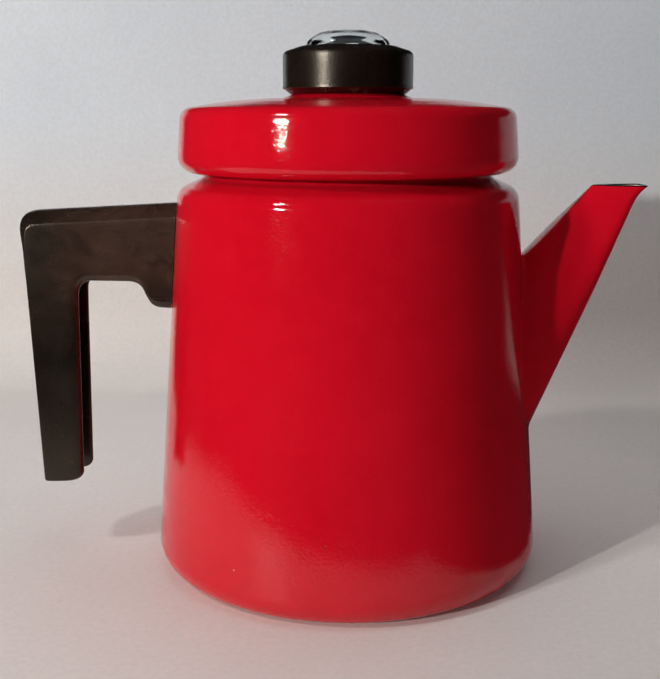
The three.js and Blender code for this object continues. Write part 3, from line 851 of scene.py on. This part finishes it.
def build_gasket():
    prof = rounded([(14.0, 182.0, 0), (17.6, 182.0, 0.5), (17.6, 183.7, 0.5), (14.0, 183.7, 0.5), (14.0, 182.0)], fine=0.15)
    return lathe("dome_seal", prof, 128, [RUBBER], sharp=60)


def build_lock_ring():
    prof = rounded([
        (14.4, 174.7, 0), (14.7, 174.4), (19.8, 174.4, 0.2), (20.1, 174.9, 0.2), (20.1, 176.1, 0.3), (17.6, 176.8, 0.2),
    ], fine=0.2)
    z = 177.2
    while z < 181.0:                       # the thread's crests and roots
        prof += [(17.6, z, None), (17.15, z + 0.28, None), (17.6, z + 0.56, None)]
        z += 0.62
    prof += [(17.4, 181.5, None), (17.1, 181.7, None), (14.7, 181.7, None), (14.4, 181.4, None)]
    ob = lathe("dome_lock_ring_turned", prof, 144, [ALUMINIUM], sharp=40)
    # two notches for the spanner that tightens it
    for s in (1, -1):
        c = bevel_solid("notch", [(s * 14.0, 173.9), (s * 20.6, 173.9), (s * 20.6, 175.3), (s * 14.0, 175.3)], -1.6, 1.6, [ALUMINIUM], 0.2, 2)
        cut(ob, c, sharp=40)
    return ob


# ------------------------------------------------------------------ handle
def arc_pts(cx, cz, r, a0, a1, n):
    return [(cx + r * math.cos(math.radians(a)), cz + r * math.sin(math.radians(a))) for a in np.linspace(a0, a1, n)]


def fillet2d(pts, n=14):
    """(x, z, radius) polyline with rounded corners."""
    return [(p[0], p[1]) for p in rounded([(a[0], a[1], a[2] if len(a) > 2 else 0) for a in pts], fine=0.3)]


def build_handle():
    # matched stations along the moulding: root, skirt curve, arm, corner fan, grip, end.
    # O is the crest of the back, R the ridge where the back meets the cheeks, I the rim, C the channel's floor.
    arm_o = lambda x: 139.9 - (x + 55.0) * -0.0523
    arm_r = lambda x: arm_o(x) - 5.0
    seg = lambda f, a, b, n: resample([(a, f(a)), (b, f(b))], n)
    grip_o = lambda z: -122.75 + (115.0 - z) * 0.0371
    grip_r = lambda z: -121.78 + (115.0 - z) * 0.0371
    O = [seg(arm_o, -55, -70.2, 9)[:-1], seg(arm_o, -70.2, -82.4, 17)[:-1], seg(arm_o, -82.4, -98.0, 9)[:-1],
         spline([(-98.0, arm_o(-98)), (-108.0, arm_o(-108)), (-116.0, arm_o(-116)), (-119.4, 136.42), (-121.9, 135.62), (-123.9, 134.05), (-125.0, 131.7),
                 (-125.12, 128.8), (-124.35, 124.6), (-123.4, 119.6), (-122.85, 115.6), (-122.55, 110.0), (grip_o(104), 104.0)], 65)[:-1],
         resample([(grip_o(104), 104.0), (grip_o(37), 37.0)], 33)[:-1],
         resample(fillet2d([(grip_o(37), 37.0), (grip_o(30.7), GRIP_END_Z, 1.1), (-115.6, GRIP_END_Z)]), 15)]
    R = [seg(arm_r, -55, -70.2, 9)[:-1], seg(arm_r, -70.2, -82.4, 17)[:-1], seg(arm_r, -82.4, -98.0, 9)[:-1],
         spline([(-98.0, arm_r(-98)), (-106.0, arm_r(-106)), (-113.0, arm_r(-113)), (-117.2, 131.58), (-119.3, 131.25), (-120.6, 130.4), (-121.25, 128.9),
                 (-121.65, 126.5), (-121.9, 123.0), (-121.98, 119.0), (-121.9, 115.0), (-121.6, 110.0), (grip_r(104), 104.0)], 65)[:-1],
         resample([(grip_r(104), 104.0), (grip_r(37), 37.0)], 33)[:-1],
         resample(fillet2d([(grip_r(37), 37.0), (grip_r(30.7), GRIP_END_Z + 0.05, 0.9), (-114.6, GRIP_END_Z + 0.05)]), 15)]
    skirt = spline([(-67.6, 99.85), (-71.4, 100.1), (-74.0, 101.0), (-75.6, 103.0), (-76.8, 105.4), (-78.2, 108.1), (-80.6, 109.7), (-84.0, 110.1)], 60)
    I = [resample([(-55, 99.85), (-67.6, 99.85)], 9)[:-1],
         resample(skirt, 17)[:-1],
         resample([(-84.0, 110.1), (-95.5, 110.25)], 9)[:-1],
         resample(fillet2d([(-95.5, 110.25), (-102.2, 110.3, 5.0), (-102.5, 99.0)]), 65)[:-1],
         resample([(-102.5, 99.0), (-103.5, 37.0)], 33)[:-1],
         resample(fillet2d([(-103.5, 37.0), (-103.6, GRIP_END_Z + 0.6, 3.8), (-108.6, GRIP_END_Z + 0.2)]), 15)]
    Cc = fillet2d([(-98.0, 130.6), (-118.2, 129.8, 3.5), (-117.5, 104.0)])
    C = [resample([(-55, 131.6), (-70.2, 131.2)], 9)[:-1],
         resample([(-70.2, 131.2), (-82.4, 131.0)], 17)[:-1],
         resample([(-82.4, 131.0), (-98.0, 130.6)], 9)[:-1],
         resample(Cc, 65)[:-1],
         resample([(-117.5, 104.0), (-115.4, 37.0)], 33)[:-1],
         resample([(-115.4, 37.0), (-115.1, 33.6), (-114.0, GRIP_END_Z + 0.3)], 15)]
    O, R, I, C = (np.concatenate(q) for q in (O, R, I, C))
    lift = lambda q: q + np.array([0.0, 0.3]) * np.clip((40.0 - q[:, 1:2]) / 9.0, 0, 1)      # the end's own height
    O, R, I, C = (lift(q) for q in (O, R, I, C))
    H = HANDLE_HALF
    t3 = 3.0                                                # cheek thickness
    ys = list(np.linspace(0, 0.945, 17))                    # share of the half width on the back
    rows = []
    for o, r, i, c in zip(O, R, I, C):
        o3, r3, i3, c3 = (np.array([q[0], 0.0, q[1]]) for q in (o, r, i, c))
        ex = (i3 - r3)
        EL = np.linalg.norm(ex)
        ex = ex / EL                                        # from the ridge towards the rim
        Y = np.array([0, 1.0, 0])
        half = []
        for s in ys:
            half.append(o3 + (r3 - o3) * s * s + Y * H * s)
        # ridge rounded by a small curve
        p0 = half[-1]
        p1 = r3 + Y * H
        p2 = r3 + ex * 0.6 + Y * H
        for s in np.linspace(0, 1, 6)[1:]:
            half.append((1 - s) ** 2 * p0 + 2 * s * (1 - s) * p1 + s * s * p2)
        # cheek
        rim_d, rim_y = min(4.0, 0.3 * EL), 2.25
        for s in np.linspace(0, 1, 7)[1:]:
            half.append(r3 + ex * (0.6 + (EL - 0.6 - rim_d) * s) + Y * H)
        # rim: a long outside round, a short inside one
        for a in np.linspace(0, math.pi / 2, 11)[1:]:
            half.append(i3 - ex * rim_d * (1 - math.sin(a)) + Y * (H - rim_y * (1 - math.cos(a))))
        for a in np.linspace(0, math.pi / 2, 5)[1:]:
            half.append(i3 - ex * 0.8 * (1 - math.cos(a)) + Y * (H - rim_y - (t3 - rim_y) * math.sin(a)))
        # inside of the cheek down to the channel's floor
        cx = (i3 - c3)
        CL = np.linalg.norm(cx)
        cx = cx / CL
        for s in np.linspace(0, 1, 6)[1:]:
            half.append(i3 - cx * (0.8 + (CL - 0.8 - 1.6) * s) + Y * (H - t3))
        for a in np.linspace(0, math.pi / 2, 5)[1:]:
            half.append(c3 + cx * 1.6 * (1 - math.sin(a)) + Y * (H - t3 - 1.6 * (1 - math.cos(a))))
        for s in np.linspace(0, 1, 5)[1:]:
            half.append(c3 + Y * (H - t3 - 1.6) * (1 - s))
        mirror = [p * np.array([1, -1, 1]) for p in half[1:-1]][::-1]
        rows.append(half + mirror)

    # the root follows the pot's wall: every line of the moulding stops a hair before the enamel
    def over_wall(p):
        zz = min(p[2], 139.0)
        return math.hypot(p[0], p[1]) - (wall_r(zz) + 0.22)

    K0 = 25                                                 # the first station left as it is
    n = len(rows[0])
    fitted = [[] for _ in range(K0)]
    for j in range(n):
        line = [rows[k][j] for k in range(K0 + 1)]
        k = 0
        while k < K0 and over_wall(line[k + 1]) < 0:
            k += 1
        a, b = line[k], line[k + 1]
        fa, fb = over_wall(a), over_wall(b)
        hit = a + (b - a) * (-fa / (fb - fa)) if fa < 0 < fb else a
        run = resample([hit] + line[k + 1:], K0 + 1)
        for q in range(K0):
            fitted[q].append(run[q])
    keep = fitted + rows[K0:]
    grid = grid_object("handle_moulding", keep, [FADED], None, wrap_rows=False, sharp=38)
    bm = bmesh.new()
    bm.from_mesh(grid.data)
    bm.verts.ensure_lookup_table()
    first = [bm.verts[k] for k in range(n)]
    last = [bm.verts[(len(keep) - 1) * n + k] for k in range(n)]
    f1 = bm.faces.new(first)
    f2 = bm.faces.new(last)
    edges = [e for e in f2.edges]
    bmesh.ops.triangulate(bm, faces=[f1], quad_method="BEAUTY", ngon_method="EAR_CLIP")
    bmesh.ops.bevel(bm, geom=edges, offset=0.5 * MM, segments=3, profile=0.5, affect="EDGES", clamp_overlap=True)
    big = [f for f in bm.faces if len(f.verts) > 6]
    bmesh.ops.triangulate(bm, faces=big, quad_method="BEAUTY", ngon_method="EAR_CLIP")
    bmesh.ops.recalc_face_normals(bm, faces=bm.faces)
    if bm.calc_volume(signed=True) < 0:
        bmesh.ops.reverse_faces(bm, faces=bm.faces)
    bm.to_mesh(grid.data)
    bm.free()
    grid.data.polygons.foreach_set("use_smooth", [True] * len(grid.data.polygons))
    grid.data.set_sharp_from_angle(angle=math.radians(38))
    # the moulded boss round the insert
    bx = (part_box("handle_insert")[0].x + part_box("handle_insert")[1].x) / 2 / MM
    boss = rounded([(3.05, 131.9, 0), (3.05, 124.0, 0.25), (5.4, 123.8, 0.5), (5.6, 129.6, 1.0), (7.6, 132.4), (3.05, 132.4)], fine=0.3)
    b = lathe("boss", boss, 64, [FADED], sharp=40)
    b.data.transform(Matrix.Translation((bx * MM, 0, 0)))
    return join("handle_moulding", grid, b), bx


# ------------------------------------------------------------------ handle hardware
def build_hardware(bx):
    pieces = []
    # brass insert with a knurled outside
    prof = rounded([(2.2, 124.1, 0), (2.75, 124.1, 0.15), (3.0, 124.5, 0.1)], fine=0.15)
    z = 124.9
    while z < 130.0:
        prof += [(3.0, z, None), (2.82, z + 0.2, None), (3.0, z + 0.4, None)]
        z += 0.5
    prof += [(3.0, 130.2, None), (2.8, 130.6, None), (2.2, 130.6, None)]
    ins = lathe("insert_turned", prof, 72, [BRASS], sharp=40)
    ins.data.transform(Matrix.Translation((bx * MM, 0, 0)))
    pieces.append((ins, "handle_insert", "brass"))
    w = lathe("washer_pressed", rounded([(2.3, 119.6, 0), (4.6, 119.6, 0.3), (4.6, 120.7, 0.3), (2.3, 120.7, 0.2), (2.3, 119.6)], fine=0.1), 96, [STEEL], sharp=40)
    w.data.transform(Matrix.Translation((bx * MM, 0, 0)))
    pieces.append((w, "handle_washer", "steel"))
    head = rounded([(0.0, 116.6, 0), (2.8, 116.6, 1.0), (3.9, 118.0, 0.6), (3.9, 119.3, 0.2), (1.9, 119.3, 0.15)], fine=0.15)
    z = 120.9
    while z < 129.2:
        head += [(1.9, z, None), (1.62, z + 0.3, None), (1.9, z + 0.6, None)]
        z += 0.7
    head += [(1.7, 129.8, None), (1.3, 130.0, None), (0.0, 130.0, None)]
    s = lathe("screw_pan_head", head, 72, [STEEL], closed=False, sharp=40)
    s.data.transform(Matrix.Translation((bx * MM, 0, 0)))
    c = bevel_solid("slot", [(bx - 4.6, 115.9), (bx + 4.6, 115.9), (bx + 4.6, 117.3), (bx - 4.6, 117.3)], -0.55, 0.55, [STEEL], 0.08, 1)
    cut(s, c, sharp=35)
    pieces.append((s, "handle_screw", "steel"))
    # welded lug: a foot on the wall, a tongue with the screw's hole, and a rib
    def on_wall(z):
        return -(wall_r(z) + 0.16)
    W = 6.5
    rows = []
    for y in np.linspace(-W, W, 25):
        fx = lambda z: -math.sqrt((wall_r(z) + 0.16) ** 2 - y * y)
        loop = [(fx(104.0), 104.0)] + [(fx(z), z) for z in np.linspace(108, 127.5, 8)]
        loop += [(fx(127.5) - 1.9, 127.5)] + [(fx(z) - 1.9, z) for z in (125.5, 124.2)]
        loop += [(-70.5, 123.5), (-91.4, 123.5), (-92.0, 122.9), (-92.0, 121.6), (-91.4, 121.0), (-70.4, 121.0), (fx(120.0) - 1.9, 119.6)]
        loop += [(fx(z) - 1.9, z) for z in (114.0, 108.5)] + [(fx(104.0) - 1.6, 104.0)]
        rows.append([np.array([a, y, b]) for a, b in loop])
    lug = grid_object("lug_pressed", rows, [STEEL], None, wrap_rows=False, caps=(0, len(rows) - 1), sharp=35)
    bmx = bmesh.new()
    bmx.from_mesh(lug.data)
    hard = [e for e in bmx.edges if e.is_manifold and e.calc_face_angle(0) > math.radians(60)]
    bmesh.ops.bevel(bmx, geom=hard, offset=0.28 * MM, segments=2, profile=0.5, affect="EDGES", clamp_overlap=True)
    bmesh.ops.recalc_face_normals(bmx, faces=bmx.faces)
    bmx.to_mesh(lug.data)
    bmx.free()
    hole = cylinders("hole", [(bx, 0.0)], 2.3, 119.5, 125.0, 40)
    cut(lug, hole, sharp=35)
    rib = bevel_solid("rib", [(on_wall(109) - 1.7, 109.0), (-77.5, 121.2), (on_wall(121.2) - 1.7, 121.2)], -1.1, 1.1, [STEEL], 0.2, 2)
    lug = join("lug_pressed", lug, rib)
    pieces.append((lug, "handle_bracket", "steel"))
    return pieces


# ------------------------------------------------------------------ pump and basket
def build_bell():
    prof = rounded([
        (32.9, 1.6, 0), (33.2, 1.5), (33.9, 1.5, 0.2), (33.9, 2.4, 0.3), (32.8, 6.2, 2.0), (12.0, 12.6, 3.0), (6.5, 13.6, 1.2), (6.5, 20.7, 0.2),
        (6.3, 21.0), (5.3, 21.0), (5.3, 12.5, 0.3), (11.6, 11.5, 2.0), (31.7, 5.2, 1.5),
    ])
    ob = lathe("bell_spun", split_long(prof, 2.5), 192, [ALUMINIUM], sharp=40)
    # arched notches round the rim let the water in
    verts, faces = [], []
    for k in range(6):
        a0 = math.pi / 3 * k + math.pi / 6
        ca, sa = math.cos(a0), math.sin(a0)
        b = len(verts)
        S = 20
        for x in (28.0, 38.0):
            for q in range(S):
                w = 2 * math.pi * q / S
                y, z = 2.0 * math.cos(w), 0.9 + 2.0 * math.sin(w)
                verts.append(((x * ca - y * sa) * MM, (x * sa + y * ca) * MM, z * MM))
        faces.append(tuple(range(b + S - 1, b - 1, -1)))
        faces.append(tuple(range(b + S, b + 2 * S)))
        for q in range(S):
            q2 = (q + 1) % S
            faces.append((b + q, b + q2, b + S + q2, b + S + q))
    c = new_object("notches", verts, faces, [ALUMINIUM], None, 0)
    return cut(ob, c, sharp=40)


def build_tube():
    prof = rounded([(4.2, 5.3, 0), (4.4, 5.0), (4.8, 5.0, 0.1), (5.0, 5.3), (5.0, 186.5, 0.1), (4.75, 187.0), (4.35, 187.0), (4.2, 186.6)], fine=0.2)
    return lathe("riser_drawn", split_long(prof, 6.0), 96, [ALUMINIUM], sharp=40)


def build_stop():
    prof = rounded([(5.3, 90.3, 0), (5.6, 90.0), (7.6, 90.0, 0.8), (7.6, 93.5, 0.8), (5.3, 93.5, 0.2)], fine=0.2)
    return lathe("stop_ring_turned", prof, 96, [ALUMINIUM], sharp=40)


def ring_holes(spec):
    out = []
    for n, r, off in spec:
        for k in range(n):
            a = 2 * math.pi * (k + off) / n
            out.append((r * math.cos(a), r * math.sin(a)))
    return out


def build_basket():
    zf, zt, R = 95.3, 137.6, 39.5
    prof = rounded([
        (7.2, zf, 0), (R - 2.0, zf, 4.0), (R, zt - 1.2, 0.4), (R + 1.7, zt - 1.2, 0.4), (R + 2.2, zt - 0.6, 0.4), (R + 1.7, zt, 0.4), (R - 0.95, zt, 0.6),
        (R - 3.0, zf + 1.0, 3.0), (7.2, zf + 1.0),
    ])
    prof = split_long(prof, 3.0)
    ob = lathe("basket_drawn", prof, 216, [ALUMINIUM], sharp=40)
    holes = cylinders("holes", ring_holes([(16, 13.0, 0), (22, 17.0, 0.5), (28, 21.0, 0), (32, 25.0, 0.5), (38, 29.0, 0), (42, 32.6, 0.5)]), 0.75, zf - 1.5, zf + 2.2, 12)
    return cut(ob, holes, sharp=40)


def build_sleeve():
    prof = rounded([
        (5.5, 94.0, 0), (5.8, 93.8), (10.9, 93.8, 0.2), (11.0, 94.9, 0.2), (6.9, 95.0, 0.3), (6.9, 134.3, 0.2), (6.6, 134.6), (5.7, 134.6), (5.5, 134.4),
    ], fine=0.2)
    return lathe("basket_sleeve_drawn", split_long(prof, 4.0), 112, [ALUMINIUM], sharp=40)


def build_spreader():
    zt = 137.6
    prof = rounded([
        (7.6, 135.6, 0), (8.0, 135.4), (36.4, 135.4, 1.1), (36.8, zt + 0.3, 0.4), (40.7, zt + 0.3, 0.4), (40.7, zt + 1.3, 0.4), (35.8, zt + 1.3, 0.8),
        (35.4, 136.4, 0.7), (8.6, 136.4, 0.8), (8.6, 140.7), (8.4, 141.0), (7.8, 141.0), (7.6, 140.8),
    ])
    ob = lathe("spreader_pressed", split_long(prof, 3.0), 216, [ALUMINIUM], sharp=40)
    holes = cylinders("holes", ring_holes([(14, 12.5, 0), (20, 16.6, 0.5), (26, 20.7, 0), (30, 24.8, 0.5), (36, 28.9, 0), (40, 32.8, 0.5)]), 0.8, 134.0, 138.0, 12)
    return cut(ob, holes, sharp=40)


# ------------------------------------------------------------------ build, ride, replace
def place(ob, body, slot, *nodes):
    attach(ob, body)
    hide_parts(*nodes)
    return ob


place(build_body(), "pot", "red_enamel", "body_shell")
place(build_spout(), "pot", "red_enamel", "spout")
handle, BX = build_handle()
place(handle, "pot", "bakelite", "handle_grip")
for ob, node, slot in build_hardware(BX):
    place(ob, "pot", slot, node)
place(build_lid(), "lid", "red_enamel", "lid_shell")
place(build_lid_sleeve(), "lid", "red_enamel", "lid_collar")
place(build_knob(), "lid", "bakelite", "knob_collar")
place(build_dome(), "lid", "sight_glass", "glass_dome")
place(build_gasket(), "lid", "seal_rubber", "dome_gasket")
place(build_lock_ring(), "lid", "aluminium", "dome_lock_ring")
place(build_bell(), "pump", "aluminium", "pump_bell")
place(build_tube(), "pump", "aluminium", "riser_tube")
place(build_stop(), "pump", "aluminium", "basket_stop_ring")
place(build_basket(), "basket", "aluminium", "coffee_basket")
place(build_sleeve(), "basket", "aluminium", "basket_sleeve")
place(build_spreader(), "spreader", "aluminium", "basket_spreader")

# ------------------------------------------------------------------ floor, backdrop and light
def build_stage():
    m = Mat("pale_foam")
    n = m.noise(7.0, 4, 0.5)
    fine = m.noise(420.0, 3, 0.6)
    z = m.xyz()[2]
    # painted light tint: the sheet turns from warm pale near the floor to blue-grey between 70 and 170 mm up, standing
    # in for cool light on the upper wall
    up = m.maprange(z, 0.07, 0.17, 0.0, 1.0)
    low = m.mix(m.maprange(n, 0.3, 0.7, 0.0, 1.0), rgb(231, 226, 221), rgb(239, 234, 229))
    high = m.mix(m.maprange(n, 0.3, 0.7, 0.0, 1.0), rgb(222, 231, 239), rgb(231, 239, 246))
    col = m.mix(up, low, high)
    col = m.mix(m.maprange(fine, 0.35, 0.7, 0.0, 0.35), col, rgb(212, 211, 212))
    m.color(col)
    m.rough(m.maprange(m.noise(60.0, 3, 0.5), 0.3, 0.7, 0.5, 0.68))
    m.normal(m.bump(m.noise(700.0, 3, 0.6), 0.00012, 0.5))
    # painted fill light: the floor glows faintly pink near its foot, fading out by 45 mm up, to lift the shadows on it
    m.p.inputs["Emission Color"].default_value = (1.0, 0.86, 0.82, 1)
    m.link(m.maprange(z, 0.0, 0.045, 0.03, 0.0), m.p.inputs["Emission Strength"])
    # seen from behind, the sheet lets the view and the light through, so it never stands in front of the pot
    clear, both = m.n("ShaderNodeBsdfTransparent"), m.n("ShaderNodeMixShader")
    out = [q for q in m.m.node_tree.nodes if q.type == "OUTPUT_MATERIAL"][0]
    m.link(m.n("ShaderNodeNewGeometry").outputs["Backfacing"], both.inputs[0])
    m.link(m.p.outputs[0], both.inputs[1])
    m.link(clear.outputs[0], both.inputs[2])
    m.link(both.outputs[0], out.inputs["Surface"])
    z0 = BASE_Z - 0.02
    R, top, side, tall = 0.05, 1.6, 2.2, 0.25
    # the sheet under the pot runs back and turns up into a wall.
    # Only its middle is close enough to mirror in the glaze, and the room above and beyond it is dark.
    fx = [-0.2751, -0.274, -0.241, -0.165, -0.066, 0.0, 0.09]
    fy = [0.02, -0.07, -0.119, -0.152, -0.169, -0.166, -0.13]
    wall_y = lambda x: 0.29
    bend = [(R * math.sin(a) - R, R - R * math.cos(a)) for a in np.linspace(0, math.pi / 2, 20)]
    flat = lambda pts: [np.array([x / MM, y / MM, z / MM + z0]) for x, y, z in pts]

    def piece(name, rows, mirrored, through=True):
        ob = grid_object(name, rows, [m.m], None, wrap_rows=False, wrap_cols=False, sharp=0)
        if sum((f.normal.z - f.normal.y) * f.area for f in ob.data.polygons) < 0:
            ob.data.flip_normals()
        ob.visible_glossy = mirrored
        ob.visible_transmission = through

    rise = lambda xs: [flat([(x, wall_y(x) + dy, h) for x in xs]) for dy, h in bend] + [flat([(x, wall_y(x), tall) for x in xs])]
    high = lambda xs, a, b: [flat([(x, wall_y(x), h) for x in xs]) for h in (a, b)]
    piece("floor_middle", [flat([(x, y, 0.0) for x, y in zip(fx, fy)])] + rise(fx), True)
    piece("wall_high", high([-side, -0.3, 0.3, side], tall, 0.46), False)
    piece("wall_top", high([-side, -0.3, 0.3, side], 0.46, top), False, False)
    piece("floor_near", [flat([(x, y, 0.0) for x, y in zip(fx, fy)]), flat([(x, -side, 0.0) for x in fx])], False)
    piece("floor_left", [flat([(x, -side, 0.0) for x in (-side, -0.3, fx[0])])] + rise((-side, -0.3, fx[0])), False)
    piece("floor_right", [flat([(x, -side, 0.0) for x in (fx[-1], side)]), flat([(x, wall_y(x) - R, 0.0) for x in (fx[-1], side)])], False)
    piece("wall_right", rise((fx[-1], 0.6)), True)
    piece("wall_far_right", rise((0.6, side)), False)
    piece("floor_back", [flat([(x, y, -0.0006) for x in (-side, side)]) for y in (wall_y(0) - R, side)], False)


build_stage()

world = bpy.data.worlds.new("world")
bpy.context.scene.world = world
world.use_nodes = True
bg = world.node_tree.nodes["Background"]
bg.inputs["Color"].default_value = (0.80, 0.84, 0.92, 1)
# the room is dark, apart from a pale backdrop where a view looks past the sheet
path = world.node_tree.nodes.new("ShaderNodeLightPath")
level = world.node_tree.nodes.new("ShaderNodeMapRange")
level.inputs["To Min"].default_value = 0.012
level.inputs["To Max"].default_value = 0.42
world.node_tree.links.new(path.outputs["Is Camera Ray"], level.inputs["Value"])
world.node_tree.links.new(level.outputs[0], bg.inputs["Strength"])


def area(name, loc, target, size, power, color=(1, 1, 1), size_y=None):
    d = bpy.data.lights.new(name, "AREA")
    d.energy = power
    d.color = color
    d.shape = "RECTANGLE"
    d.size = size
    d.size_y = size_y or size
    o = bpy.data.objects.new(name, d)
    bpy.context.scene.collection.objects.link(o)
    o.location = loc
    o.rotation_euler = (Vector(target) - Vector(loc)).to_track_quat("-Z", "Y").to_euler()
    return o


def aimed(name, az, el, dist, target, size, power, color, size_y=None):
    """A panel at an azimuth to the left of the front and an elevation, in degrees, as seen from its target."""
    a, e = math.radians(az), math.radians(el)
    t = Vector(target)
    loc = t + Vector((-math.sin(a) * math.cos(e), -math.cos(a) * math.cos(e), math.sin(e))) * dist
    return area(name, loc, t, size, power, color, size_y)


aimed("key_low_left", 42.8, 10.7, 1.15, (0.0, 0.0, 0.17), 0.026, 7.1, (1.0, 0.965, 0.93), 0.026)
aimed("key_high_left", 50.0, 41.0, 1.10, (0.0, 0.0, 0.12), 0.07, 2.6, (1.0, 0.97, 0.94), 0.07)
over = area("overhead_wide", (0.15, -0.10, 1.1), (0.05, 0.0, 0.0), 0.7, 1.9, (0.95, 0.97, 1.0))
over.visible_glossy = False

bpy.context.scene.view_settings.view_transform = "Standard"
